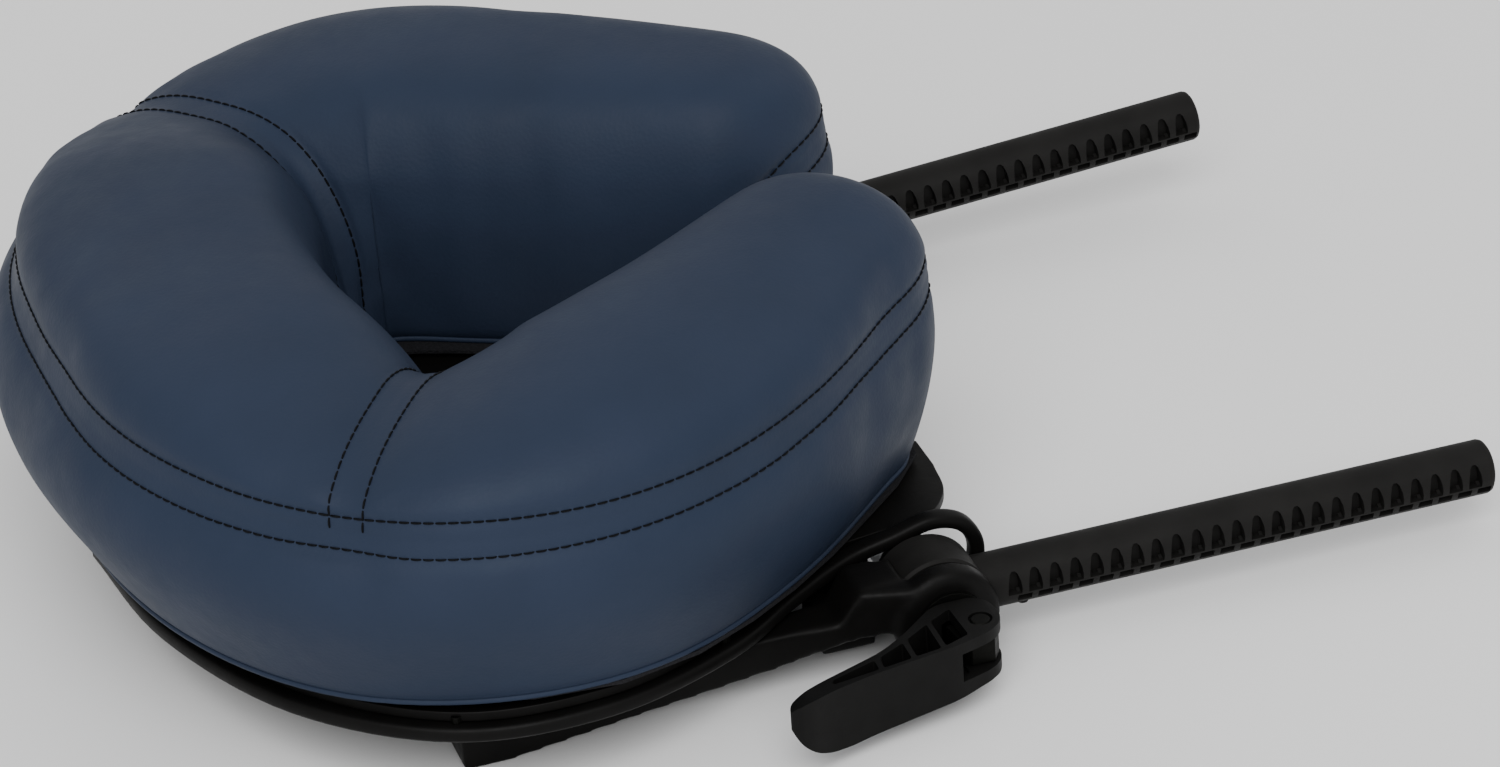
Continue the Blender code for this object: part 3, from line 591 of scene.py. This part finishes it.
class Pad:
    """The cushion's closed quad mesh before it is inflated, with its vertex numbers by place.

    full is the share of the side band's swell that is put in. top and base are grids, and wall
    has a column of vertices, seam to foot, for each place of the top grid's rim.
    """

    def __init__(self, full):
        self.full = full
        self.verts = []
        self.edge = {}
        self.top, foot = self.add_top(grid_rows())
        self.rows = len(self.top)
        self.rim = rim_places(self.rows, ACROSS + 1)
        self.wall = [self.wall_column(i, j) for i, j in self.rim]
        self.base = [[self.add(x, y, PAD_FOOT_Z) for x, y in row] for row in foot]
        self.faces = facing_out(self.verts, self.quads())

    def add(self, x, y, z):
        self.verts.append(from_pivot(x, y, z))
        return len(self.verts) - 1

    def add_top(self, rows):
        """Adds the top's points: their grid, and the places of the base under them."""
        levels = [sin(v * pi / 2) for v in np.linspace(-1, 1, ACROSS + 1)]
        foot_z = PAD_FOOT_Z + FOOT_INSET
        top, foot = [], []
        for i, (station, x) in enumerate(rows):
            top_row, foot_row = [], []
            for j, y in enumerate(levels):
                dx, dy = disc_point(x, y) if x else (0.0, y)
                r = hypot(dx, dy)
                side = smooth_step(dy / max(r, 1e-6))
                wide = station.half(side)
                way = station.along * dx + station.out * dy
                plan = station.centre + way * wide
                top_row.append(self.add(*plan, station.top(r, side)))
                reach = wide + station.bulge(1.0, foot_z, side, self.full) - FOOT_INSET
                foot_row.append(station.centre + way * reach)
                if r > 0.999:
                    self.edge[(i, j)] = (station, side, plan, way.normalized())
            top.append(top_row)
            foot.append(foot_row)
        return top, foot

    def wall_column(self, i, j):
        """The vertices down the side from one place of the rim, its own vertex first."""
        station, side, plan, out = self.edge[(i, j)]
        column = [self.top[i][j]]
        for k in range(1, WALL + 1):
            t = k / WALL
            z = between(SEAM_Z, PAD_FOOT_Z + FOOT_INSET, t)
            offset = station.bulge(t, z, side, self.full)
            column.append(self.add(plan.x + out.x * offset, plan.y + out.y * offset, z))
        return column

    def quads(self):
        faces = []
        top, base = self.top, self.base
        for i in range(self.rows - 1):
            for j in range(ACROSS):
                faces.append((top[i][j], top[i + 1][j], top[i + 1][j + 1], top[i][j + 1]))
                faces.append((base[i][j], base[i][j + 1], base[i + 1][j + 1], base[i + 1][j]))
        columns = [column + [base[i][j]] for column, (i, j) in zip(self.wall, self.rim)]
        for here, there in zip(columns, columns[1:] + columns[:1]):
            for k in range(WALL + 1):
                faces.append((here[k], here[k + 1], there[k + 1], there[k]))
        return faces

    def mouth_line(self, tip, way):
        """The join's last stretch, from the middle of an arm's end down to the foot."""
        drop = ACROSS // 2 + MOUTH_DROP
        return [self.wall_place(tip + way * n, (n / drop) ** MOUTH_CURVE)
                for n in range(1, drop + 1)]

    def wall_place(self, n, share):
        """The two wall vertices at rim place n that a share of the way down lies between."""
        column = self.wall[n % len(self.wall)]
        depth = clamped(share) * (WALL - 1)
        k = min(int(depth), WALL - 2)
        return column[k], column[k + 1], depth - k

    def perimeter_join(self):
        """The join of top and side band, from the mouth side of one arm to that of the other."""
        far_tip = self.rows - 1 + ACROSS // 2
        near_tip = len(self.wall) - ACROSS // 2
        along = range(near_tip, len(self.wall) + far_tip + 1)
        return [*reversed(self.mouth_line(near_tip, -1)), *[self.wall_place(n, 0.0) for n in along],
                *self.mouth_line(far_tip, 1)]

    def radial_joins(self):
        """The joins over the crown at each radial seam and down the hole's wall."""
        centres = [station.centre for station in cushion_stations()]
        lines = []
        for place in SEAM_CORNERS:
            spot = Vector(RIDGE[place][:2])
            i = CAP + min(range(len(centres)), key=lambda n: (centres[n] - spot).length)
            line = self.top[i][::-1] + self.wall[self.rim.index((i, 0))][1:-2]
            lines.append([(n, n, 0.0) for n in line])
        return lines


def bmesh_of(verts, faces):
    """A bmesh of the points and faces, and its vertices in their order."""
    bm = bmesh.new()
    corners = [bm.verts.new(v) for v in verts]
    for face in faces:
        bm.faces.new([corners[n] for n in face])
    bm.verts.index_update()
    return bm, corners


def facing_out(verts, faces):
    """The faces with their corners in an order that points every one outward."""
    bm, _ = bmesh_of(verts, faces)
    bmesh.ops.recalc_face_normals(bm, faces=bm.faces)
    outward = [tuple(v.index for v in face.verts) for face in bm.faces]
    bm.free()
    return outward


def pad_object(verts, faces):
    mesh = bpy.data.meshes.new("pad")
    mesh.from_pydata([tuple(v) for v in verts], [], faces)
    return new_object("pad", mesh)


def inflate(verts, faces, seam_points):
    """Blows the cover up by cloth simulation: the foot is held and the seams pull tight."""
    item = pad_object(verts, faces)
    mesh = item.data
    held = item.vertex_groups.new(name="held")
    tight = item.vertex_groups.new(name="tight")
    tree = tree_of_points(seam_points)
    for vertex in mesh.vertices:
        if vertex.co.z < PAD_FOOT_Z + FOOT_INSET + HELD_HEIGHT:
            held.add([vertex.index], 1.0, "REPLACE")
        distance = tree.find(vertex.co)[2]
        tight.add([vertex.index], bell(distance, TIGHT_REACH), "REPLACE")
    cloth = item.modifiers.new("cloth", "CLOTH")
    for key, value in CLOTH.items():
        setattr(cloth.settings, key, value)
    cloth.settings.effector_weights.gravity = 0.0
    cloth.collision_settings.use_collision = False
    scene = bpy.context.scene
    scene.frame_start = 1
    scene.frame_end = INFLATE_FRAMES
    for number in range(1, INFLATE_FRAMES + 1):
        scene.frame_set(number)
    graph = bpy.context.evaluated_depsgraph_get()
    before, after = places_of(mesh), places_of(item.evaluated_get(graph).to_mesh())
    scene.frame_set(1)
    bpy.data.objects.remove(item, do_unlink=True)
    move = after - before
    length = np.linalg.norm(move, axis=1, keepdims=True)
    capped = MOST_MOVE * np.tanh(length / MOST_MOVE)
    return before + move * capped / np.maximum(length, 1e-9)


def places_of(mesh):
    """A mesh's vertices as an array of rows."""
    flat = np.zeros(len(mesh.vertices) * 3)
    mesh.vertices.foreach_get("co", flat)
    return flat.reshape(-1, 3)


def tree_of_points(points):
    tree = KDTree(len(points))
    for n, point in enumerate(points):
        tree.insert(point, n)
    tree.balance()
    return tree


def tree_of(mesh):
    return BVHTree.FromPolygons([v.co for v in mesh.vertices],
                                [list(p.vertices) for p in mesh.polygons])


def calmed(verts, faces):
    """The points after a little smoothing, the foot held."""
    bm, corners = bmesh_of(verts, faces)
    free = [v for v in corners if v.co.z > PAD_FOOT_Z + FOOT_INSET + CALM_HEIGHT]
    for _ in range(CALM_ROUNDS):
        bmesh.ops.smooth_vert(bm, verts=free, factor=0.5, use_axis_x=True, use_axis_y=True,
                              use_axis_z=True)
    smoothed = [v.co.copy() for v in corners]
    bm.free()
    return smoothed


def add_subdivision(item):
    step = item.modifiers.new("smooth", "SUBSURF")
    step.levels = 1
    step.render_levels = 1


def subdivided(verts, faces):
    """A mesh of the given quads, subdivided once."""
    item = pad_object(verts, faces)
    add_subdivision(item)
    return applied(item)


def relaxed(line, rounds):
    """The line with its small kinks smoothed away."""
    line = np.array(line, float)
    for _ in range(rounds):
        line[1:-1] = (line[:-2] + 2 * line[1:-1] + line[2:]) / 4
    return line


def surface_line(points, tree, offset=0.0):
    """A line on the surface, walked sideways over it by the offset: (point, normal) pairs."""
    line = relaxed(evenly(points, ROW_SPACING), 6)
    ahead = np.gradient(line, axis=0)
    paces = int(round(abs(offset) / WALK_PACE))
    walked = []
    for point, run in zip(line, ahead):
        spot, normal = tree.find_nearest(Vector(point))[:2]
        for _ in range(paces):
            side = normal.cross(Vector(run)).normalized()
            spot, normal = tree.find_nearest(spot + side * (offset / paces))[:2]
        walked.append(tuple(spot))
    walked = relaxed(evenly(walked, ROW_SPACING), 12)
    return [tree.find_nearest(Vector(point))[:2] for point in walked]


def settled(line, tree):
    """The line, evened out, and carried straight down onto another surface."""
    points = relaxed([spot for spot, _ in line], 20)
    normals = relaxed([normal for _, normal in line], 40)
    placed = []
    for point, normal in zip(points, normals):
        point, normal = Vector(point), Vector(normal).normalized()
        place = tree.ray_cast(point + normal * DROP, -normal, 2 * DROP)[0]
        if place is None:
            place = tree.find_nearest(point)[0]
        placed.append((place, normal))
    return placed


def seam_lines(join_ids, tree):
    """The joins and the stitch rows on the inflated cover, as (point, normal) pairs.

    They are first walked over the cover without its swell, which bends less.
    """
    even = Pad(0.0)
    even_tree = tree_of(subdivided(even.verts, even.faces))
    lines = [[even.verts[a].lerp(even.verts[b], share) for a, b, share in line]
             for line in join_ids]
    joins = [settled(surface_line(line, even_tree), tree) for line in lines]
    rows = [settled(surface_line(line, even_tree, side), tree) for line in lines
            for side in (-ROW_OFFSET, ROW_OFFSET)]
    return joins, rows


def lengths_along(line):
    """How far along its line each point lies."""
    travel = [0.0]
    for (here, _), (there, _) in zip(line, line[1:]):
        travel.append(travel[-1] + (there - here).length)
    return travel


def press_seams(mesh, joins, rows):
    """Sinks the stitch rows, the joins and the hollows beside them into the padded surface."""
    join_tree = tree_of_points([spot for line in joins for spot, _ in line])
    row_tree = tree_of_points([spot for line in rows for spot, _ in line])
    row_along = [travel for line in rows for travel in lengths_along(line)]
    corners = [line[0][0] for line in joins[1:]]
    normals = [v.normal.copy() for v in mesh.vertices]
    for vertex, normal in zip(mesh.vertices, normals):
        _, number, to_row = row_tree.find(vertex.co)
        if to_row > PRESS_REACH:
            continue
        to_join = join_tree.find(vertex.co)[2]
        to_corner = min((vertex.co - corner).length for corner in corners)
        sink = 0.0
        for distance, (depth, reach) in ((to_row, ROW_GROOVE), (to_join, JOIN_GROOVE),
                                         (to_join, JOIN_HOLLOW), (to_corner, CORNER_HOLLOW)):
            sink += depth * bell(distance, reach)
        wave = noise.noise(Vector((row_along[number] / PUCKER_LENGTH, to_join / 0.03, PUCKER_SEED)))
        out = max(to_join - ROW_OFFSET, 0.0) / PUCKER_WIDTH
        strength = PUCKER + CORNER_PUCKER[0] * bell(to_corner, CORNER_PUCKER[1])
        sink += strength * wave * out * exp(-out * out / 2)
        vertex.co -= normal * sink


def fold_walls(mesh):
    """Soft upright folds where the cover is slack on the hole's two long walls."""
    for vertex in mesh.vertices:
        inward = -vertex.normal.y * copysign(1.0, vertex.co.y)
        facing = clamped((inward - 0.2) / 0.4) * clamped((0.8 - vertex.normal.z) / 0.3)
        if facing == 0.0 or abs(vertex.co.y) > HOLE_HALF:
            continue
        up = (vertex.co.z - PAD_FOOT_Z) / (CREST_Z - PAD_FOOT_Z)
        share = sin(pi * clamped(up)) ** 1.2
        lean = FOLD_LEAN * (up - 0.5) * copysign(1.0, vertex.co.y)
        sink = 0.0
        for place, width, depth in FOLDS:
            gap = (vertex.co.x - PIVOT_X - place - lean) / width
            sink += depth * exp(-0.5 * gap * gap)
        vertex.co -= vertex.normal * sink * share * facing


def stitch_rings(bm, travel, row, centre):
    """The rings of one stitch, its middle at that length along the row."""
    rings = []
    for along, lift, size in STITCH_SHAPE:
        at = centre + along * STITCH
        sample = [np.interp(at, travel, row[:, k]) for k in range(6)]
        spot, normal = Vector(sample[:3]), Vector(sample[3:]).normalized()
        ahead = Vector([np.interp(at + 0.0005, travel, row[:, k]) for k in range(3)])
        side = (ahead - spot).normalized().cross(normal).normalized()
        hub = spot + normal * THREAD_R * lift
        ring = []
        for c, s in circle(THREAD_SIDES):
            ring.append(bm.verts.new(hub + (side * c + normal * s) * THREAD_R * size))
        rings.append(ring)
    return rings


def stitches(rows):
    """A bmesh of short thread bridges along the stitch rows."""
    bm = bmesh.new()
    for line in rows:
        travel = lengths_along(line)
        row = np.array([[*spot, *normal] for spot, normal in line])
        count = int(travel[-1] / (STITCH + STITCH_GAP))
        pitch = travel[-1] / count
        for s in range(count):
            close_up(bm, stitch_rings(bm, travel, row, (s + 0.5) * pitch))
    return bm


def foot_welt(foot_line, surface):
    """The folded edge of the side band, all round the cushion's foot."""
    loop = []
    for point in foot_line:
        spot = surface.find_nearest(Vector((point.x, point.y, WELT_Z)))[0]
        loop.append(Vector((spot.x, spot.y, WELT_Z)))
    bm = bmesh.new()
    rings = []
    for n, point in enumerate(loop):
        run = (loop[(n + 1) % len(loop)] - loop[n - 1]).normalized()
        out = Vector((run.y, -run.x, 0.0)) * WELT_HALF[0]
        up = Vector((0.0, 0.0, WELT_HALF[1]))
        rings.append([bm.verts.new(point + out * c + up * s) for c, s in circle(WELT_SIDES)])
    for near, far in zip(rings, rings[1:] + rings[:1]):
        bridge(bm, near, far)
    item = new_piece("cushion_foot_welt", bm, MATERIALS["navy_vinyl"], 80)
    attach(item, "cushion")


def cushion():
    """The padded cover, the thread in its seams and the welt round its foot."""
    pad = Pad(1.0)
    join_ids = [pad.perimeter_join(), *pad.radial_joins()]
    verts = pad.verts
    verts = inflate(verts, pad.faces, [verts[a] for line in join_ids for a, _, _ in line])
    verts = calmed([Vector(v) for v in verts], pad.faces)
    mesh = subdivided(verts, pad.faces)
    joins, rows = seam_lines(join_ids, tree_of(mesh))
    press_seams(mesh, joins, rows)
    fold_walls(mesh)
    mesh.name = "horseshoe_cushion"
    mesh.shade_smooth()
    item = new_object("horseshoe_cushion", mesh, MATERIALS["navy_vinyl"])
    add_subdivision(item)
    surface = BVHTree.FromObject(item, bpy.context.evaluated_depsgraph_get())
    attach(item, "cushion")
    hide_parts("cover_front_panel", "cover_near_arm_panel", "cover_far_arm_panel",
                "cover_side_band", "foam_core")
    thread = new_piece("seam_stitching", stitches([settled(row, surface) for row in rows]),
                       THREAD, 80)
    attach(thread, "cushion")
    foot_welt([verts[column[-1]] for column in pad.wall], surface)


# ---- posts ----
FAR_POST_PITCH = 4.25  # degrees up, at rest
POST_R = 0.00795
POST_TIP = [(0.0016, 0.0), (0.0006, 0.0004), (0.0, 0.0013)]  # back from the end, off the radius
KNUCKLE_R = 0.015
KNUCKLE_HALF = 0.008
KNUCKLE_EDGE = (0.0009, 0.0007)  # chamfer along the axis, and in
BORE_R = 0.0036
CELLS = 24
CELL_FIRST = 0.0225
CELL_PITCH = 0.0061
CELL_DEPTH = 0.0036
SIDE_CELL_HALF = [(0.002, -0.0018), (0.0021, -0.0002), (0.0018, 0.0022), (0.0012, 0.0042),
                  (0.0005, 0.0049)]  # foot to peak, on the side towards the end
UNDER_CELL = (0.0042, 0.0026)  # length along the post, width round it
UNDER_DEPTH = 0.00288
UNDER_ANGLE = 27.0  # degrees below level, on the near side
NUB_X = 0.027
NUB = [(-POST_R - 0.0011, 0.00096), (-POST_R - 0.0007, 0.0016), (-0.003, 0.0016)]
CUT = 0.001  # how far a cutter stands out of what it cuts


def side_cell(x):
    """Cutter for an arched cell in the post's near side."""
    outline = [(x + a, b) for a, b in SIDE_CELL_HALF]
    outline += [(x - a, b) for a, b in reversed(SIDE_CELL_HALF)]
    return prism(outline, "Y", -POST_R - CUT, -POST_R + CELL_DEPTH)


def under_cell(x):
    """Cutter for a slot lower down on the same side."""
    half, high = UNDER_CELL[0] / 2, UNDER_CELL[1] / 2
    outline = rectangle((x - half, x + half), (-high, high))
    slot = prism(outline, "Y", -POST_R - CUT, -POST_R + UNDER_DEPTH)
    tip = Matrix.Rotation(radians(UNDER_ANGLE), 4, "X")
    bmesh.ops.transform(slot, matrix=tip, verts=slot.verts)
    return slot


def post(name, side, pitch):
    """A round post with its knuckle, its row of cells and the slots below them."""
    y = side * POST_SPACING / 2
    shaft = turned([(0.0, POST_R)] + [(POST_END - back, POST_R - off) for back, off in POST_TIP],
                   "X")
    edge, less = KNUCKLE_EDGE
    knuckle = turned([(-KNUCKLE_HALF, KNUCKLE_R - less), (-KNUCKLE_HALF + edge, KNUCKLE_R),
                      (KNUCKLE_HALF - edge, KNUCKLE_R), (KNUCKLE_HALF, KNUCKLE_R - less)],
                     "Y")
    bmesh.ops.translate(knuckle, verts=knuckle.verts, vec=(0, middle(name).y - y, 0))
    body = boolean(shaft, knuckle, "UNION")
    body = boolean(body, turned(NUB, "Z", NUB_X, -0.0008, 20), "UNION")
    cells = []
    for i in range(CELLS):
        x = CELL_FIRST + i * CELL_PITCH
        cells += [side_cell(x), under_cell(x + CELL_PITCH / 2)]
    body = boolean(body, joined(cells), "DIFFERENCE")
    reach = KNUCKLE_HALF * 2.5
    bore = turned([(-reach, BORE_R), (reach, BORE_R)], "Y", count=24)
    body = boolean(body, bore, "DIFFERENCE")
    turn = Matrix.Rotation(radians(-pitch), 4, "Y")
    place = Matrix.Translation((PIVOT_X, y, PIVOT_Z))
    bmesh.ops.transform(body, matrix=place @ turn, verts=body.verts)
    item = new_piece(f"{name}_moulding", body, POST_NYLON, 35)
    soften(item, 0.00022, 2, 40)
    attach(item, name)
    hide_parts(name)


# ---- hoop and platform ----
OUTLINE_STEPS = 8
HOOP_Z = 0.0225
HOOP_PLAN = [(-0.21, 0.0, 0.0), (-0.202, 0.05, 0.0), (-0.179, 0.0995, 0.0),
             (-0.143, 0.1305, 0.0), (-0.102, 0.135, 0.0), (-0.064, 0.1215, 0.0),
             (-0.04, 0.105, 0.0006), (-0.02, 0.0968, 0.004)]  # x, y and rise over HOOP_Z
CURL_Y = 0.0959
CURL = [(-0.006, 0.0295), (0.005, 0.0322), (0.0135, 0.03), (0.0179, 0.0237),
        (0.0178, 0.0163), (0.014, 0.0086), (0.0072, 0.004), (-0.001, 0.00255),
        (-0.01, 0.0025), (-0.02, 0.0025)]  # x and z, over and round the pivot
HOOP_BAND = (0.008, 0.005)  # width and thickness round the platform
CURL_BAND = (0.0058, 0.0045)  # the same round the pivot
CURL_START = -0.07  # where the one starts to turn into the other
CURL_FULL = -0.03


def flex_hoop():
    """The band that runs round the platform and curls round the pivot at both ends."""
    plan = [(x, y, HOOP_Z + rise) for x, y, rise in HOOP_PLAN]
    half = spline([*plan, *[(x, CURL_Y, z) for x, z in CURL]], OUTLINE_STEPS)
    path = [from_pivot(x, -y, z) for x, y, z in half[:0:-1]] + [from_pivot(*p) for p in half]
    sizes = []
    for point in path:
        share = clamped((point.x - PIVOT_X - CURL_START) / (CURL_FULL - CURL_START))
        sizes.append([between(a, b, share) for a, b in zip(HOOP_BAND, CURL_BAND)])
    item = new_piece("flex_hoop_band", tube(path, sizes, 3.2, 20), MATERIALS["black_nylon"], 60)
    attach(item, "cradle")
    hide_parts("flex_hoop")


PLATE_OUTER = [(-0.2095, 0.0), (-0.2015, 0.0505), (-0.1785, 0.0995), (-0.1425, 0.131),
               (-0.101, 0.1355), (-0.066, 0.1225), (-0.048, 0.106), (-0.032, 0.094),
               (-0.01, 0.09), (0.007, 0.0868), (0.0165, 0.076), (0.019, 0.061)]
PLATE_INNER = [(0.019, 0.047), (0.012, 0.032), (-0.005, 0.025), (-0.035, 0.03),
               (-0.065, 0.039), (-0.095, 0.043), (-0.118, 0.033), (-0.127, 0.0)]
RIB_T = 0.0018  # stiffening ribs under the platform, inside the hoop
RIB_X = (-0.12, -0.0085)  # where they start and end
RIB_DEPTH = (0.0048, 0.014)  # beside the hoop, and at the arms' ends
RIB_INSET = (0.0085, 0.0042)  # from the platform's edge, in the same places
RIB_DEEPENS = (-0.062, -0.04)
RIB_BITE = 0.0003  # how far they reach into the platform


def platform_ribs():
    """Upright ribs under the platform, deeper towards the pivot."""
    edge = [p for p in evenly(spline(PLATE_OUTER, OUTLINE_STEPS), 0.003)
            if RIB_X[0] < p[0] < RIB_X[1]]
    ribs = []
    for side in (-1, 1):
        path, sizes = [], []
        for x, y in edge:
            share = clamped((x - RIB_DEEPENS[0]) / (RIB_DEEPENS[1] - RIB_DEEPENS[0]))
            depth = between(*RIB_DEPTH, share)
            inset = between(*RIB_INSET, share)
            path.append(from_pivot(x, side * (y - inset), PLATE_LOW.z - depth / 2 + RIB_BITE))
            sizes.append((RIB_T, depth))
        ribs.append(tube(path, sizes, 6, 12))
    return ribs


def platform():
    """The flat horseshoe under the cushion, with its ribs."""
    half = np.vstack([spline(PLATE_OUTER, OUTLINE_STEPS), spline(PLATE_INNER, OUTLINE_STEPS)])
    outline = [(x + PIVOT_X, y) for x, y in half]
    outline += [(x, -y) for x, y in reversed(outline[1:-1])]
    bm = joined([prism(outline, "Z", PLATE_LOW.z, PLATE_HIGH.z), *platform_ribs()])
    item = new_piece("platform_moulding", bm, MATERIALS["black_nylon"], 35)
    soften(item, 0.0011, 4, 50)
    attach(item, "cradle")
    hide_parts("platform_plate")


# ---- base frame ----
FRAME_VOXEL = 0.0009
FRAME_ROUNDS = 12  # of smoothing
FRAME_KEEP = 0.25  # share of the faces kept after it


def base_frame():
    """The CAD frame's own shape with every edge and corner rounded off, as a moulding has."""
    copy = frame["nodes"]["base_frame"].data.copy()
    copy.materials.clear()
    source = new_object("frame_source", copy)
    skin = source.modifiers.new("skin", "REMESH")
    skin.mode = "VOXEL"
    skin.voxel_size = FRAME_VOXEL
    relax = source.modifiers.new("relax", "SMOOTH")
    relax.factor = 0.5
    relax.iterations = FRAME_ROUNDS
    thin = source.modifiers.new("thin", "DECIMATE")
    thin.ratio = FRAME_KEEP
    mesh = applied(source)
    mesh.shade_smooth()
    item = new_object("base_frame_moulding", mesh, MATERIALS["black_nylon"])
    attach(item, "cradle")
    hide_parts("base_frame")


# ---- lever ----
# Seen from above (x, y) and from the near side (x, z); x from the pivot line.
LEVER_PLAN = [(-0.006, -0.1266), (0.005, -0.1266), (0.0085, -0.129), (0.0099, -0.133),
              (0.01, -0.138), (0.0078, -0.1425), (0.004, -0.1452), (-0.006, -0.1485),
              (-0.033, -0.153), (-0.045, -0.1562), (-0.052, -0.1591), (-0.0558, -0.1597),
              (-0.058, -0.1583), (-0.0574, -0.1561), (-0.048, -0.1512), (-0.027, -0.1432),
              (-0.018, -0.1372)]
LEVER_FACE = [(0.012, 0.0085), (0.004, 0.0085), (-0.006, 0.007),
              (-0.025, 0.0057), (-0.04, 0.0047), (-0.046, 0.0052), (-0.051, 0.0075),
              (-0.055, 0.0112), (-0.0575, 0.0152), (-0.0586, 0.0205), (-0.057, 0.0234),
              (-0.053, 0.0245), (0.012, 0.0245)]
LEVER_POCKETS = [
    [(-0.0022, -0.13), (-0.0018, -0.1442), (-0.0093, -0.1472), (-0.009, -0.134)],
    [(-0.0106, -0.135), (-0.0109, -0.1478), (-0.0185, -0.149), (-0.018, -0.14)],
    [(-0.0198, -0.1412), (-0.02, -0.1494), (-0.0285, -0.1508), (-0.0278, -0.1456)],
    [(-0.0298, -0.1464), (-0.03, -0.1511), (-0.044, -0.1532), (-0.0435, -0.1512)],
]
LEVER_ROUND = 0.004  # of both outlines' corners
POCKET_ROUND = 0.0009
POCKET_FLOOR = 0.011
LEVER_TOP = 0.0245
ABOVE_LEVER = 0.03  # where its cutters end
LEVER_Y = (-0.17, -0.12)  # clear of it on both sides
SLOT_X = (-0.005, 0.02)  # between the fork's prongs
SLOT_Z = (0.0121, 0.0209)
PIN = (0.004, -0.138)
PIN_HOLE_R = 0.0022
PIN_HEAD = (0.001, 0.0034)  # depth and radius of its head's recess


def rounded_outline(points, radius, steps=4):
    """The outline with each corner cut by an arc of about that radius."""
    line = []
    count = len(points)
    for n in range(count):
        here = Vector(points[n])
        back, ahead = Vector(points[n - 1]) - here, Vector(points[(n + 1) % count]) - here
        reach = min(radius, back.length * 0.45, ahead.length * 0.45)
        start, end = here + back.normalized() * reach, here + ahead.normalized() * reach
        for k in range(steps + 1):
            t = k / steps
            line.append(tuple(start * (1 - t) ** 2 + here * 2 * t * (1 - t) + end * t ** 2))
    return line


def cam_lever():
    """The forked lever with its four pockets, closed against the arm."""
    body = prism(rounded_outline(LEVER_PLAN, LEVER_ROUND), "Z", 0.0, ABOVE_LEVER)
    face = prism(rounded_outline(LEVER_FACE, LEVER_ROUND), "Y", *LEVER_Y)
    body = boolean(body, face, "INTERSECT")
    body = boolean(body, prism(rectangle(SLOT_X, LEVER_Y), "Z", *SLOT_Z), "DIFFERENCE")
    pockets = [prism(rounded_outline(outline, POCKET_ROUND, 3), "Z", POCKET_FLOOR, ABOVE_LEVER)
               for outline in LEVER_POCKETS]
    body = boolean(body, joined(pockets), "DIFFERENCE")
    depth, radius = PIN_HEAD
    hole = turned([(0.0, PIN_HOLE_R), (LEVER_TOP - depth, PIN_HOLE_R), (LEVER_TOP - depth, radius),
                   (ABOVE_LEVER, radius)], "Z", *PIN, 32)
    body = boolean(body, hole, "DIFFERENCE")
    bmesh.ops.translate(body, verts=body.verts, vec=(PIVOT_X, 0, 0))
    item = new_piece("cam_lever_moulding", body, MATERIALS["lever_nylon"], 32)
    soften(item, 0.00055, 3, 32)
    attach(item, "cam_lever")
    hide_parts("cam_lever")


# ---- stage ----
FLOOR_REACH = (-12.0, 12.0)
FLOOR_Z = -0.0003
WORLD_STRENGTH = 0.65
LAMPS = [("key", (-0.5, -1.7, 1.8), 2.0, 58.0),
         ("fill", (1.4, 0.3, 1.5), 1.6, 5.0),
         ("back", (-0.4, 1.7, 1.5), 1.6, 5.0)]  # name, place, size and watts
LAMP_AIM = (0.0, 0.0, 0.05)
CAMERA_PLACE = (-0.28349, -1.33609, 0.82547)
CAMERA_TURN = (60.272, 3.423, -18.593)
CAMERA_LENS = 131.5


def floor_material():
    n = Nodes("pale_floor")
    tint = n.ramp(n.noise(3.0), (0.88, 0.88, 0.88), (0.9, 0.9, 0.9))
    rough = n.spread(n.noise(9.0), 0.75, 0.85)
    return n.finish(tint, rough, n.bump(n.noise(40.0), 0.0001, 0.1), specular=0.2)


def floor():
    mesh = bpy.data.meshes.new("floor")
    corners = rectangle(FLOOR_REACH, FLOOR_REACH)
    mesh.from_pydata([(x, y, FLOOR_Z) for x, y in corners], [], [(0, 1, 2, 3)])
    new_object("floor", mesh, floor_material())


def lights():
    """A bright world and three soft lamps, the key in front."""
    world = bpy.data.worlds.new("studio")
    world.use_nodes = True
    background = world.node_tree.nodes["Background"].inputs
    background["Color"].default_value = (1.0, 1.0, 1.0, 1.0)
    background["Strength"].default_value = WORLD_STRENGTH
    bpy.context.scene.world = world
    for name, spot, size, power in LAMPS:
        data = bpy.data.lights.new(name, "AREA")
        data.size = size
        data.energy = power
        lamp = new_object(name, data)
        lamp.location = spot
        aim = Vector(LAMP_AIM) - Vector(spot)
        lamp.rotation_euler = aim.to_track_quat("-Z", "Y").to_euler()


def camera():
    data = bpy.data.cameras.new("camera")
    data.sensor_width = 36.0
    data.lens = CAMERA_LENS
    item = new_object("camera", data)
    item.location = CAMERA_PLACE
    item.rotation_euler = [radians(a) for a in CAMERA_TURN]
    bpy.context.scene.camera = item


def main():
    finish_cad_nodes()
    cushion()
    post("near_post", -1, 0.0)
    post("far_post", 1, FAR_POST_PITCH)
    flex_hoop()
    platform()
    base_frame()
    cam_lever()
    floor()
    lights()
    camera()


main()
